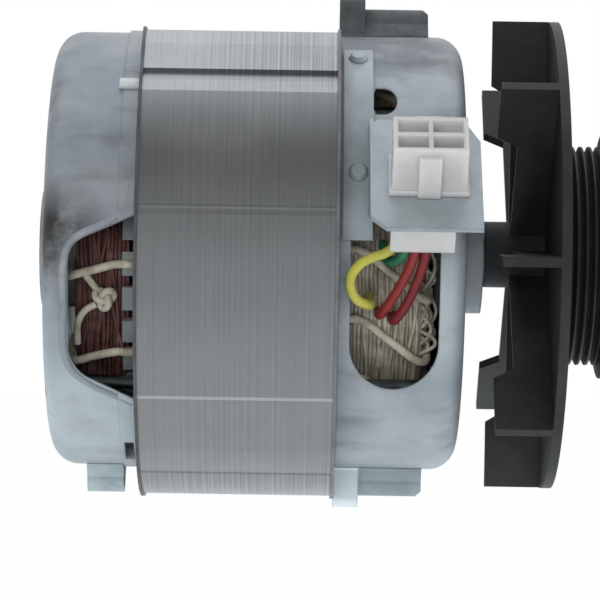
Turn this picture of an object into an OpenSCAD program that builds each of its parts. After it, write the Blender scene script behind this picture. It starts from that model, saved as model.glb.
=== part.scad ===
// Belt-drive washing machine motor: a laminated stator between two end bells, with a ball-bearing
// rotor, a moulded cooling fan, a ribbed belt pulley and a four-way connector on a bracket.
// The shaft lies along X with the pulley at +X, Z is up and the connector faces -Y. The origin is
// on the shaft axis, level with the front faces of the two mounting lugs.

/* [Stator] */
// Diameter of the lamination stack
stack_d = 133.4; // [128:0.2:140]
// Length of the lamination stack between its end plates
stack_len = 50.4; // [40:0.2:70]
// Height of the flat on top of the stack above the shaft axis
top_flat = 57.2; // [54:0.2:62]
// Distance from the shaft axis to the four corner flats
corner_flat = 66.05; // [64.5:0.05:66.4]
// Thickness of each end plate
plate_t = 0.8; // [0.5:0.1:1.5]
// How far the end plates stand out past the laminations
plate_lip = 0.8; // [0.2:0.1:1.5]
// Bore of the stator
bore_d = 67; // [62:0.5:68]
// Number of slots
slot_count = 32; // [24, 32]
// Width of a slot
slot_w = 4.2; // [3.6:0.1:4.6]
// Depth of a slot behind the tooth tips
slot_depth = 12.5; // [11:0.5:13.5]
// Thickness of the tooth tips
tip_t = 1.6; // [1:0.1:2]
// Opening of a slot at the bore
mouth_w = 2.2; // [1.6:0.1:3]
// Width of the two cleat grooves along the stack
cleat_w = 3.2; // [2:0.2:8]
// Depth of the cleat grooves
cleat_depth = 1.8; // [1:0.1:2.5]
// Width of the weld seams along the stack
seam_w = 2.4; // [1:0.2:4]
// Depth of the weld seams
seam_depth = 0.7; // [0.3:0.1:1.5]

/* [Windings] */
// Thickness of the insulator rings on the lamination faces
insulator_t = 0.8; // [0.5:0.1:1.5]
// Height of the insulator's teeth above its ring
castle_h = 3.9; // [2:0.1:6]
// Gap between two insulator teeth
castle_gap = 3; // [2.6:0.1:4]
// Length of the rear end winding along the shaft
rear_coil_len = 14; // [12.5:0.5:16]
// Length of the front end winding along the shaft
front_coil_len = 20; // [18:0.5:20.5]
// Depth of each end winding, from its inside to its outside
coil_t = 7.5; // [5:0.5:8]
// Diameter of a strand in the outer layer of the winding
wire_d = 1.3; // [1:0.05:1.35]
// Step from one turn of the outer layer to the next
wire_pitch = 1.75; // [1.75:0.01:1.85]
// Turns in the outer layer of the rear end winding
rear_wire_turns = 6; // [4, 5, 6]
// Turns in the outer layer of the front end winding
front_wire_turns = 9; // [6, 7, 8, 9]
// Diameter of the lacing cord
lace_d = 1.8; // [1.2:0.1:1.9]

/* [End bells] */
// Outside diameter of both end bells
bell_d = 118; // [116:0.5:119]
// Wall of the end bells
bell_wall = 2.8; // [2:0.1:3.5]
// Thickness of their end walls
bell_end_t = 3; // [2.5:0.1:4]
// Radius round the end of each bell
bell_fillet = 7; // [5:0.5:8.5]
// How far the middle of each bell's end wall stands out past its rounded edge
bell_dome = 1.8; // [0.8:0.1:2]
// Width of the raised rim round the mouth of the rear bell
rim_w = 4.6; // [3:0.1:6]
// Height of that rim
rim_h = 0.6; // [0.3:0.1:1]
// Depth of the rear bell
rear_bell_len = 26; // [25:0.5:34]
// Depth of the front bell
front_bell_len = 34.8; // [33:0.2:42]
// How far the front bearing boss stands out of the end wall
boss_proud = 4.7; // [4.2:0.1:7]
// Wall of the bearing bosses
boss_wall = 2.2; // [1.6:0.1:3.5]
// Thickness of the lip in front of the front bearing
boss_lip = 3.3; // [2:0.1:4]
// Width of the front window along the shaft
front_window_w = 23; // [18:0.5:25]
// Gap between the stack and the front window
front_window_gap = 3.1; // [2:0.1:5]
// Width of the rear window along the shaft
rear_window_w = 17.1; // [12:0.1:18]
// Top of the front window above the shaft axis
window_top = 13; // [8:0.5:13.5]
// Bottom of the front window below the shaft axis
window_bottom = 36; // [30:0.5:40]
// Top of the rear window above the shaft axis, next to the stack
rear_window_top = 8; // [4:0.5:10]
// Bottom of the rear window below the shaft axis, next to the stack
rear_window_bottom = 40; // [36:0.5:41]
// How far its top edge falls towards the end of the bell
window_fall = 8; // [4:0.5:10]
// How far its bottom edge rises towards the end of the bell
window_rise = 8; // [4:0.5:10]

/* [Mounting lugs] */
// Length of the front lugs along the shaft
lug_len = 24; // [20:0.2:30]
// Length of the rear lug along the shaft
rear_lug_len = 10; // [8:0.5:14]
// Distance from the shaft axis to the lug holes
lug_r = 62.4; // [62.2:0.1:64]
// Radius of the rounded top of a lug
lug_boss_r = 4.2; // [3.8:0.1:5]
// Radius of the lug holes
lug_hole_r = 2.6; // [1.6:0.05:2.7]
// Width of a lug where it meets the bell
lug_foot_w = 18; // [14:0.5:24]
// Thickness of the upright tab on a front lug
tab_t = 6.8; // [4:0.2:9]
// Reach of the tab from the shaft axis
tab_r = 69.5; // [67.5:0.5:74]
// Width of the tab
tab_w = 14; // [10:0.5:20]

/* [Bearings] */
// Outside diameter of the ball bearings
bearing_d = 28; // [26:0.5:30]
// Bore of the ball bearings
bearing_bore = 12; // [10:0.5:12.5]
// Width of the ball bearings
bearing_w = 8; // [7:0.5:9]
// Diameter of a ball
ball_d = 4.7; // [4:0.1:4.8]
// Balls in each bearing
ball_count = 8; // [6, 7, 8]
// Thickness of the wave washer behind the rear bearing
wave_t = 1; // [0.6:0.1:1.4]

/* [Rotor] */
// Gap between rotor and stator
air_gap = 0.4; // [0.3:0.05:0.8]
// Diameter of the shaft in the rotor
shaft_d = 14; // [13:0.5:16]
// Diameter of the thread on the shaft's end
thread_d = 10; // [8:0.5:10]
// Flat on the shaft, measured from its axis
shaft_flat = 5; // [4.4:0.1:5.4]
// Bars in the rotor cage
bar_count = 26; // [20, 22, 24, 26, 28]
// Diameter of a bar
bar_d = 4.4; // [3:0.1:5]
// Thickness of the cage's end rings
ring_t = 7; // [4:0.5:9]
// Fins on each end ring
fin_count = 8; // [4, 6, 8]

/* [Fan and pulley] */
// Gap between the front bearing boss and the fan hub
hub_gap = 0.8; // [0.5:0.1:1.5]
// Diameter of the fan
fan_d = 127.4; // [110:0.2:134]
// Length of the fan along the shaft
fan_len = 18.9; // [14:0.1:24]
// Thickness of the fan's plate
fan_plate_t = 2.6; // [2:0.1:4]
// Diameter of the fan's hub
fan_hub_d = 18; // [16:0.5:24]
// Blades on the fan
blade_count = 8; // [6, 8, 10]
// Thickness of a blade
blade_t = 2.6; // [1.6:0.1:4]
// Radius at which the blades step up
blade_step_r = 46; // [36:0.5:52]
// Height of that step
blade_step = 5.4; // [1:0.1:6.5]
// Diameter of the pulley over its ribs
pulley_d = 59.8; // [52:0.2:66]
// Grooves in the pulley
groove_count = 5; // [3, 4, 5, 6]
// Distance from groove to groove
groove_pitch = 2.34; // [2.2:0.01:2.6]
// Depth of a groove
groove_depth = 2.1; // [1.5:0.1:2.3]
// Diameter of the pulley's flange
flange_d = 67; // [66.5:0.5:74]
// Thickness of the pulley's flange
flange_t = 2.9; // [2:0.1:4]
// Length of the pulley's hub
pulley_hub_len = 8.6; // [6:0.1:12]

/* [Connector] */
// Thickness of the bracket's sheet
sheet_t = 1.2; // [0.8:0.1:1.6]
// Width of the strap along the shaft
strap_w = 7.8; // [6.5:0.1:9]
// Width of the shelf along the shaft
shelf_w = 28; // [26:0.2:31]
// Length of the shelf along its slope
shelf_len = 40; // [34:0.5:44]
// Width of the connector
plug_w = 18.6; // [18:0.1:22]
// Height of the connector
plug_h = 12.5; // [11:0.1:14]
// Reach of the connector in front of the shelf
plug_reach = 15; // [12:0.5:18]
// Wall between and around the connector's cells
cell_wall = 1.2; // [0.8:0.1:1.3]
// Width of a blade terminal
blade_w = 6.3; // [4.8:0.1:6.5]
// Diameter of a lead
lead_d = 2.6; // [2:0.1:2.8]

/* [Hidden] */
$fn = 72;

// Clearances: a seat between fixed pieces, a slip fit on the shaft, and a running gap
seat = 0.3;
slip = 0.05;
run = 0.1;
eps = 0.5;

// Places along the shaft
front_x = -lug_len;
core_x1 = front_x - plate_t;
core_x0 = core_x1 - stack_len;
rear_x = core_x0 - plate_t;
rear_end_x = rear_x - rear_bell_len;
front_end_x = front_x + front_bell_len;
boss_end_x = front_end_x + boss_proud;
front_bearing_x = boss_end_x - boss_lip - bearing_w;
wave_x = rear_end_x + bell_end_t - 0.6;
rear_bearing_x = wave_x + wave_t;
hub_x0 = boss_end_x + hub_gap;
fan_front_x = hub_x0 + fan_len;
blade_x0 = hub_x0 + 1.4;
washer_t = 1.5;
washer_r = 9.4;
nut_t = 6;
washer_x = fan_front_x + pulley_hub_len;
nut_x = washer_x + washer_t;
thread_spare = 1.7;

// Radii of the stator and its windings
bore_r = bore_d / 2;
cleat_angle = 43;
seam_angle = 8;
slot_r1 = bore_r + tip_t;
slot_r2 = slot_r1 + slot_depth;
slot_step = 360 / slot_count;
wedge_t = 1;
coil_out = slot_r2 - 3.6;
coil_in = coil_out - coil_t;
wire_r = wire_d / 2;
lace_r = lace_d / 2;
loop_rings = 24;
wire_seat = 0.15;
wire_path_r = (coil_out + wire_seat + wire_r) / cos(180 / loop_rings);
lace_out_r = wire_path_r + wire_r + seat + lace_r;
lace_in_r = coil_in - seat - lace_r;
coil_x0 = insulator_t + lace_d + 2 * seat;
castle_x = insulator_t + castle_h;
castle_in = coil_out + 0.9;
insulator_r = slot_r2 - 0.2;
wire_inset = 0.25;
lace_curls = slot_count / 2;

// Bells, clamping bolts and lugs
bell_r = bell_d / 2;
bell_in_r = bell_r - bell_wall;
bolt_r = 2;
bolt_hole_r = bolt_r + 0.2;
bolt_land = 0.7;
bolt_circle = slot_r2 + bolt_land + bolt_hole_r;
bolt_angles = [45, 135, 225, 315];
head_h = 2.2;
head_r = 3.6;
head_sink = head_h + 0.2;
bolt_pad_r = 5.6;
bolt_pad_h = 0.8;
front_pad_x = core_x1 + coil_x0 + front_coil_len + lace_d + 2 * seat;
bolt_end_gap = 0.6;
bolt_face_x = rear_end_x + bell_dome;
front_wall_x = front_end_x - bell_dome - bell_end_t;
boss_r = bearing_d / 2 + boss_wall;
seat_r = bearing_d / 2 + slip;
boss_inside = 1.7;
rear_boss_proud = 2;
rear_boss_over = 0.6;
vent_count = 8;
vent_w = 6;
vent_in = 24;
vent_out = 40;
lug_fit_r = bell_r + slip;
rear_lug_gap = rim_w + seat;
drain_w = 2.4;
drain_len = 12;
drain_angle = -66;
fine_fn = 240;

// Bearings
pitch_r = (bearing_d + bearing_bore) / 4;
ball_r = ball_d / 2;
track_r = ball_r + run;
race_gap = 2.6;
inner_race_r = pitch_r - race_gap / 2;
outer_race_r = pitch_r + race_gap / 2;
ball_cage_t = 1.2;
ball_cage_w = 6.4;

// Rotor
rotor_r = bore_r - air_gap;
bar_circle = rotor_r - bar_d / 2 - 1.2;
journal_r = bearing_bore / 2;
cage_in = bar_circle - bar_d;
blade_lead_angle = -2.5;
blade_slope = 3.2;

// Bracket, connector and leads
strap_x = front_x + 0.8;
strap_r = bell_r + slip;
strap_from = 2;
strap_to = 62;
rivet_r = 1.6;
rivet_head_r = 2.6;
rivet_angles = [19, 57];
shelf_x = strap_x + strap_w - sheet_t;
shelf_y = -87;
shelf_z = 4.8;
shelf_tilt = 45;
plug_inset = 5.3;
plug_x = shelf_x + plug_inset;
plug_v = 11.9;
plug_flange = 0.7;
flange_sheet = 1.6;
cell_w = (plug_w - 3 * cell_wall) / 2;
cell_h = (plug_h - 3 * cell_wall) / 2;
cell_floor = 3;
neck_len = 8;
tail_len = 20;
tail_w = 16.6;
tail_h = 6.8;
blade_sheet = 0.8;
blade_tip = 1.5;
blade_root = neck_len - 2;
lead_step = lead_d + 0.2;
lead_x0 = plug_x + lead_d / 2;
lead_v = plug_v + tail_h / 2 + 0.2;

// Hand-placed points of the leads inside the front bell, after each one's exit from the connector
red_route_a = [[-4.6, -60.2, -0.5], [-5.6, -57.6, -4], [-7.6, -54.6, -8.4], [-9.8, -51.6, -12.4],
    [-11.8, -48.8, -15.4], [-13, -46.6, -16.8], [-13.2, -43.2, -15.7]];
red_route_b = [[-1.8, -60.2, -0.5], [-2.6, -57.6, -4.4], [-4.2, -54.8, -9.4], [-6.2, -52, -13.8],
    [-8.2, -49.2, -17], [-9.4, -46.8, -18.3], [-9.8, -42.8, -16.8]];
yellow_route = [[-12, -60.9, -0.9], [-15.5, -61.4, -2.2], [-19, -62.3, -4.4], [-21, -62.6, -8],
    [-20, -61.2, -12], [-16.8, -57.2, -14.2], [-15.6, -52.4, -14], [-15.8, -48.4, -13], [-16, -44.6, -11.9]];
green_route = [[-7.4, -60.2, -0.5], [-8.6, -57.4, -2.4], [-10.6, -54.4, -3], [-12, -51.4, -1.6],
    [-12.4, -48.6, 0.8], [-12.4, -46.3, 1.6]];

// A flat outline in Y and Z, extruded along the shaft
module along_x(x, length) {
    translate([x, 0, 0]) rotate([90, 0, 90]) linear_extrude(length) children();
}

// A profile of radius and place along the shaft, turned about the shaft
module turned() {
    rotate([90, 0, 90]) rotate_extrude() children();
}

// A ring turned about the shaft
module ring(x, length, r_in, r_out) {
    turned() translate([r_in, x]) square([r_out - r_in, length]);
}

// An outline in X and Z, extruded towards -Y from y_from out to y_to
module through_side(y_from, y_to) {
    translate([0, -y_from, 0]) rotate([90, 0, 0]) linear_extrude(y_to - y_from) children();
}

// Places the windings' local frame: its X runs away from the lamination face
module at_rear() {
    translate([core_x0, 0, 0]) mirror([1, 0, 0]) children();
}

module at_front() {
    translate([core_x1, 0, 0]) children();
}

// Points a local Z axis outwards at an angle above the -Y side
module outwards(angle) {
    rotate([90 - angle, 0, 0]) children();
}

// Places the shelf's local frame: Y runs up the slope and Z stands out of the sheet
module on_shelf() {
    translate([0, shelf_y, shelf_z]) rotate([shelf_tilt, 0, 0]) children();
}

module block(low, high) {
    translate(low) cube(high - low);
}

// Points a local Z axis outwards through each rivet of the strap
module rivet_places() {
    for (a = rivet_angles) translate([strap_x + strap_w / 2, 0, 0]) outwards(a) children();
}

module bolt_places() {
    for (a = bolt_angles) rotate([a, 0, 0]) translate([0, bolt_circle, 0]) children();
}

module rod(x, length, r) {
    translate([x, 0, 0]) rotate([0, 90, 0]) cylinder(h = length, r = r);
}

// Tube swept along points as one closed skin of triangles
function unit(v) = v / norm(v);
function tangent(p, i) = unit(p[min(i + 1, len(p) - 1)] - p[max(i - 1, 0)]);
function square_to(u, t) = unit(u - t * (u * t));
function across(t) = square_to(abs(t.x) < 0.8 ? [1, 0, 0] : [0, 0, 1], t);
function normals(p) = [
    for (i = 0, u = across(tangent(p, 0)); i < len(p); i = i + 1,
        u = i < len(p) ? square_to(u, tangent(p, i)) : u) u
];
function tube_points(p, r, sides) = let (u = normals(p)) [
    for (i = [0:len(p) - 1]) for (k = [0:sides - 1])
        p[i] + r * (cos(360 * k / sides) * u[i] + sin(360 * k / sides) * cross(tangent(p, i), u[i]))
];
function wall_faces(n, sides) = [
    for (i = [0:n - 2]) for (k = [0:sides - 1]) for (half = [0, 1])
        let (a = i * sides + k, b = i * sides + (k + 1) % sides)
            half == 0 ? [a, a + sides, b] : [b, a + sides, b + sides]
];
function cap_faces(n, sides) = [
    for (k = [1:sides - 2]) for (end = [0, 1])
        let (c = (n - 1) * sides) end == 0 ? [0, k, k + 1] : [c, c + k + 1, c + k]
];

module tube(points, d, sides) {
    polyhedron(tube_points(points, d / 2, sides),
        concat(wall_faces(len(points), sides), cap_faces(len(points), sides)));
}

// Least gap of a wound tube to itself, leaving out neighbours nearer than skip points along it
function self_gap(p, d, skip) =
    min([for (i = [0:len(p) - 1 - skip]) for (j = [i + skip:len(p) - 1]) norm(p[i] - p[j])]) - d;

function polar(x, r, a) = [x, r * cos(a), r * sin(a)];

// Outline of a lamination, grown all round for the end plates
module lamination(grow) {
    half = stack_d / 2 + grow;
    intersection() {
        circle(r = half);
        rotate(45) square(2 * (corner_flat + grow), center = true);
        translate([-half, -half]) square([2 * half, half + top_flat + grow]);
    }
}

// Grooves along the outside of the stack, on both sides
module stack_groove(angle, width, depth) {
    for (a = [angle, 180 - angle])
        rotate(a) translate([stack_d / 2 - depth, -width / 2]) square([2 * depth, width]);
}

module slot_outline() {
    body_len = slot_depth - slot_w / 2;
    translate([bore_r - eps, -mouth_w / 2]) square([tip_t + 2 * eps, mouth_w]);
    translate([slot_r1, -slot_w / 2]) square([body_len, slot_w]);
    translate([slot_r1 + body_len, 0]) circle(d = slot_w);
}

module each_slot() {
    for (i = [0:slot_count - 1]) rotate((i + 0.5) * slot_step) children();
}

module bolt_holes_flat() {
    for (a = bolt_angles) rotate(a) translate([bolt_circle, 0]) circle(r = bolt_hole_r);
}

module stator_stack() {
    color("#7d7c7d") along_x(core_x0, stack_len) difference() {
        lamination(0);
        circle(r = bore_r);
        each_slot() slot_outline();
        bolt_holes_flat();
        stack_groove(cleat_angle, cleat_w, cleat_depth);
        stack_groove(seam_angle, seam_w, seam_depth);
    }
}

module end_plate(x) {
    along_x(x, plate_t) difference() {
        lamination(plate_lip);
        circle(r = slot_r2 + 0.2);
        bolt_holes_flat();
    }
}

module rear_end_plate() {
    color("#6a6d70") end_plate(rear_x);
}

module front_end_plate() {
    color("#6a6d70") end_plate(core_x1);
}

// Ring on the lamination face with a toothed wall that guides the end turns
module insulator() {
    along_x(0, insulator_t) difference() {
        circle(r = insulator_r);
        circle(r = bore_r + 0.6);
        each_slot() slot_outline();
    }
    along_x(insulator_t - eps, castle_h + eps) difference() {
        circle(r = insulator_r);
        circle(r = castle_in);
        for (i = [0:slot_count - 1])
            rotate(i * slot_step) translate([0, -castle_gap / 2]) square([stack_d, castle_gap]);
        if (insulator_t > eps) each_slot() translate([0, -slot_w / 2]) square([castle_in, slot_w]);
    }
}

module rear_insulator() {
    color("#3c403f") at_rear() insulator();
}

module front_insulator() {
    color("#3c403f") at_front() insulator();
}

module slot_conductors() {
    bar_w = slot_w - 2 * seat;
    color("#5a2a24") along_x(core_x0 - coil_x0, stack_len + 2 * coil_x0) each_slot()
        translate([coil_in, -bar_w / 2]) square([coil_t, bar_w]);
}

module slot_wedges() {
    strip_w = slot_w - 2 * slip;
    color("#c9bfa6") along_x(core_x0 - insulator_t, stack_len + 2 * insulator_t) each_slot()
        translate([slot_r1 + slip, -strip_w / 2]) square([min(wedge_t, coil_in - slot_r1 - seat), strip_w]);
}

// Plain ring of end turns under the outer layer of strands
module winding_core(length) {
    soft = 2.4;
    turned() translate([coil_in, coil_x0]) {
        square([coil_t, length - soft]);
        translate([soft, 0]) square([coil_t - 2 * soft, length]);
        for (r = [soft, coil_t - soft]) translate([r, length - soft]) circle(r = soft);
    }
}

// Outer layer of strands, wound once round the stator per turn
module winding_wire(length, turns) {
    last = turns * loop_rings;
    first_x = coil_x0 + length - wire_inset - wire_r - turns * wire_pitch;
    wound = [for (i = [0:last]) let (turn = i / loop_rings)
        polar(first_x + wire_pitch * turn, wire_path_r, 360 * turn)];
    lead_in = wound[0] - wire_d * tangent(wound, 0);
    lead_out = wound[last] + wire_d * tangent(wound, last);
    echo(str("least gap between strands ", self_gap(wound, wire_d, loop_rings / 2), " mm"));
    tube(concat([lead_in], wound, [lead_out]), wire_d, 6);
}

// One turn of lacing: between two slots under the winding, over its outside and back inside
function lace_curl(start, step, length) = let (
    near = insulator_t + seat + lace_r,
    past = castle_x + seat + lace_r,
    far = coil_x0 + length + seat + lace_r,
    over_r = lace_out_r / cos(step * 0.2)
) [
    polar(near, lace_in_r, start),
    polar(near, lace_out_r, start),
    polar(past, lace_out_r, start),
    polar((past + far) / 2, over_r, start + step * 0.36),
    polar(far - lace_r, lace_out_r, start + step * 0.7),
    polar(far, (lace_out_r + lace_in_r) / 2, start + step * 0.74),
    polar(far - lace_r, lace_in_r, start + step * 0.78),
    polar((near + far) / 2, lace_in_r, start + step * 0.9)
];

module lacing(length) {
    step = 360 / lace_curls;
    skip = 4;
    laced = [for (i = [0:lace_curls - 2]) each lace_curl(i * step, step, length)];
    tail_end = laced[len(laced) - 1] - [lace_d, 0, 0];
    echo(str("least gap between lacing turns ", self_gap(laced, lace_d, skip), " mm"));
    tube(concat(laced, [tail_end]), lace_d, 6);
}

module rear_winding_core() {
    color("#4a2622") at_rear() winding_core(rear_coil_len);
}

module front_winding_core() {
    color("#5d5547") at_front() winding_core(front_coil_len);
}

module rear_winding_wire() {
    color("#5e2d27") at_rear() winding_wire(rear_coil_len, rear_wire_turns);
}

module front_winding_wire() {
    color("#6d6450") at_front() winding_wire(front_coil_len, front_wire_turns);
}

module rear_lacing() {
    color("#b9b2a4") at_rear() lacing(rear_coil_len);
}

module front_lacing() {
    color("#b9b2a4") at_front() lacing(front_coil_len);
}

// Cup profile with a rounded edge and a coned end: the open mouth at 0, the closed end at length
module cup_profile(r, length, fillet) {
    edge = r - fillet;
    shoulder = length - bell_dome;
    square([r, shoulder - fillet]);
    polygon([[0, 0], [edge, 0], [edge, shoulder], [boss_r, length], [0, length]]);
    translate([edge, shoulder - fillet]) circle(r = fillet);
}

// Shell of a bell with vents in its end wall, its mouth at 0 and its end at length
module bell_shell(length) {
    inner_fillet = bell_fillet - bell_wall;
    difference() {
        turned() cup_profile(bell_r, length, bell_fillet);
        turned() translate([0, -eps]) cup_profile(bell_in_r, length - bell_end_t + eps, inner_fillet);
        along_x(length - bell_dome - bell_end_t - eps, bell_dome + bell_end_t + 2 * eps)
            for (i = [0:vent_count - 1]) rotate(i * 360 / vent_count) {
                translate([vent_in, -vent_w / 2]) square([vent_out - vent_in, vent_w]);
                for (r = [vent_in, vent_out]) translate([r, 0]) circle(d = vent_w);
            }
    }
}

// Outline through points, each corner rounded by a circle of its own radius, or left sharp at 0
module rounded(points, radii) {
    n = len(points);
    corners = [for (i = [0:n - 1]) let (
        to_last = unit(points[(i + n - 1) % n] - points[i]),
        to_next = unit(points[(i + 1) % n] - points[i]),
        half = acos(to_last * to_next) / 2,
        reach = radii[i] / tan(half)
    ) [points[i] + reach * to_last, points[i] + reach * to_next,
        points[i] + radii[i] / sin(half) * unit(to_last + to_next)]];
    polygon([for (i = [0:n - 1]) each radii[i] > 0 ? [corners[i][0], corners[i][1]] : [points[i]]]);
    for (i = [0:n - 1]) if (radii[i] > 0) translate(corners[i][2]) circle(r = radii[i]);
}

// Rear window, open towards the stack and narrowing towards the end of the bell
module rear_window_outline() {
    top_r = 7;
    low_r = 9;
    mouth = rear_x + eps;
    back = rear_x - rear_window_w;
    rounded([[mouth, rear_window_top], [back, rear_window_top - window_fall],
        [back, window_rise - rear_window_bottom], [mouth, -rear_window_bottom]], [0, top_r, low_r, 0]);
}

// Front window, closed all round, with a half-round lower end
module front_window_outline() {
    end_r = front_window_w / 2;
    top_r = 4;
    low_z = end_r - window_bottom;
    top_z = window_top - top_r;
    translate([front_x + front_window_gap, 0]) {
        translate([0, low_z]) square([front_window_w, top_z - low_z]);
        translate([end_r, low_z]) circle(r = end_r);
        translate([top_r, top_z - eps]) square([front_window_w - 2 * top_r, top_r + eps]);
        for (x = [top_r, front_window_w - top_r]) translate([x, top_z]) circle(r = top_r);
    }
}

// Small vent slot above the bracket
module vent_slot_outline() {
    slot_x = strap_x + strap_w + 0.4;
    slot_z = 38.5;
    slot_h = 7;
    flat_len = 2.2;
    translate([slot_x, slot_z - slot_h / 2]) square([flat_len, slot_h]);
    translate([slot_x + flat_len, slot_z]) circle(d = slot_h);
}

// Cuts an outline through the side wall of a bell that faces -Y
module near_side() {
    clear_of_boss = 30;
    through_side(clear_of_boss, bell_d) children();
}

// Cuts an outline through both side walls of a bell
module both_sides() {
    for (side = [0, 1]) mirror([0, side, 0]) near_side() children();
}

module rear_end_bell() {
    boss_x = rear_end_x - rear_boss_proud;
    color("#9aa2a8") difference() {
        union() {
            translate([rear_x, 0, 0]) mirror([1, 0, 0]) bell_shell(rear_bell_len);
            ring(rear_x - rim_w, rim_w, bell_r - eps, bell_r + rim_h);
            rod(boss_x, rear_bearing_x + bearing_w + rear_boss_over - boss_x, boss_r);
            intersection() {
                bolt_places() rod(bolt_face_x + bell_end_t / 2, bell_end_t / 2 + bolt_pad_h, bolt_pad_r);
                rod(rear_end_x, rear_bell_len, bell_r - bell_wall / 2);
            }
        }
        rod(wave_x, rear_bell_len, seat_r);
        bolt_places() {
            rod(rear_end_x - eps, rear_bell_len, bolt_hole_r);
            rod(rear_end_x - eps, bell_dome + head_sink + eps, head_r + 0.5);
        }
        both_sides() rear_window_outline();
        for (side = [0, 1]) mirror([0, side, 0]) translate([rear_x - rim_w / 2, 0, 0]) outwards(drain_angle)
            block([-drain_w / 2, -drain_len / 2, bell_in_r - bell_wall], [drain_w / 2, drain_len / 2, bell_d]);
    }
}

module front_end_bell() {
    lip_hole_r = inner_race_r + eps;
    color("#9ba3a9") difference() {
        union() {
            translate([front_x, 0, 0]) bell_shell(front_bell_len);
            rod(front_bearing_x - boss_inside, boss_end_x - front_bearing_x + boss_inside, boss_r);
            intersection() {
                bolt_places() rod(front_pad_x, front_wall_x + bell_end_t / 2 - front_pad_x, bolt_pad_r);
                rod(front_x, front_bell_len, bell_r - bell_wall / 2);
            }
        }
        rod(front_bearing_x - boss_inside - eps, bearing_w + boss_inside + eps, seat_r);
        rod(front_x, front_bell_len + 2 * boss_proud, lip_hole_r);
        bolt_places() rod(front_x, front_wall_x - front_x, bolt_r + slip);
        near_side() front_window_outline();
        both_sides() vent_slot_outline();
        rivet_places() cylinder(h = bell_d, r = rivet_r + slip);
    }
}

// Cross-section of a lug standing on the bell, with its hole
module lug_outline() {
    difference() {
        union() {
            translate([0, lug_r]) circle(r = lug_boss_r);
            polygon([[-lug_foot_w / 2, bell_r - 2], [lug_foot_w / 2, bell_r - 2],
                [lug_boss_r, lug_r], [-lug_boss_r, lug_r]]);
        }
        circle(r = lug_fit_r, $fn = fine_fn);
        translate([0, lug_r]) circle(r = lug_hole_r);
    }
}

module tab_outline() {
    corner = 2.5;
    difference() {
        union() {
            translate([-tab_w / 2, 0]) square([tab_w, tab_r - corner]);
            translate([-tab_w / 2 + corner, 0]) square([tab_w - 2 * corner, tab_r]);
            for (y = [-1, 1]) translate([y * (tab_w / 2 - corner), tab_r - corner]) circle(r = corner);
        }
        circle(r = lug_fit_r, $fn = fine_fn);
        translate([0, lug_r]) circle(r = lug_hole_r);
    }
}

// Lug with its upright tab against the stack and its outer front edge bevelled
module front_lug() {
    bevel = 3;
    difference() {
        union() {
            along_x(front_x, lug_len) lug_outline();
            along_x(front_x, tab_t) tab_outline();
        }
        translate([0, 0, lug_r + lug_boss_r]) rotate([0, 45, 0])
            cube([bevel, lug_foot_w, bevel] / sqrt(2), center = true);
    }
}

module upper_mount_lug() {
    color("#5b5f61") front_lug();
}

module lower_mount_lug() {
    color("#a9b6bb") rotate([180, 0, 0]) front_lug();
}

module rear_mount_lug() {
    color("#9caab0") rotate([180, 0, 0]) along_x(rear_x - rear_lug_gap - rear_lug_len, rear_lug_len)
        lug_outline();
}

// Long hexagon-headed bolts from the rear bell to the tapped pads of the front bell
module clamp_bolts() {
    shank_x = bolt_face_x + head_sink - seat;
    color("#8b8f92") bolt_places() {
        rod(shank_x, front_wall_x - bolt_end_gap - shank_x, bolt_r);
        translate([bolt_face_x + head_sink - head_h, 0, 0]) rotate([0, 90, 0])
            cylinder(h = head_h, r = head_r, $fn = 6);
    }
}

module bearing_track(x) {
    turned() translate([pitch_r, x + bearing_w / 2]) circle(r = track_r);
}

module outer_race(x) {
    difference() {
        ring(x, bearing_w, outer_race_r, bearing_d / 2);
        bearing_track(x);
    }
}

module inner_race(x) {
    difference() {
        ring(x, bearing_w, journal_r + slip, inner_race_r);
        bearing_track(x);
    }
}

module ball_places(x) {
    for (i = [0:ball_count - 1])
        rotate([i * 360 / ball_count, 0, 0]) translate([x + bearing_w / 2, pitch_r, 0]) children();
}

module ball_cage(x) {
    cage_r = pitch_r - ball_cage_t / 2;
    difference() {
        ring(x + (bearing_w - ball_cage_w) / 2, ball_cage_w, cage_r, cage_r + ball_cage_t);
        ball_places(x) rotate([90, 0, 0]) cylinder(h = 3 * ball_cage_t, r = ball_r + slip, center = true);
    }
}

module rear_bearing_outer_race() {
    color("#b4b7ba") outer_race(rear_bearing_x);
}

module front_bearing_outer_race() {
    color("#b4b7ba") outer_race(front_bearing_x);
}

module rear_bearing_inner_race() {
    color("#b4b7ba") inner_race(rear_bearing_x);
}

module front_bearing_inner_race() {
    color("#b4b7ba") inner_race(front_bearing_x);
}

module rear_bearing_balls() {
    color("#c8cbce") ball_places(rear_bearing_x) sphere(r = ball_r);
}

module front_bearing_balls() {
    color("#c8cbce") ball_places(front_bearing_x) sphere(r = ball_r);
}

module rear_ball_cage() {
    color("#b08d57") ball_cage(rear_bearing_x);
}

module front_ball_cage() {
    color("#b08d57") ball_cage(front_bearing_x);
}

module wave_washer() {
    color("#9a9da0") ring(wave_x, wave_t, outer_race_r, bearing_d / 2 - seat);
}

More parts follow.
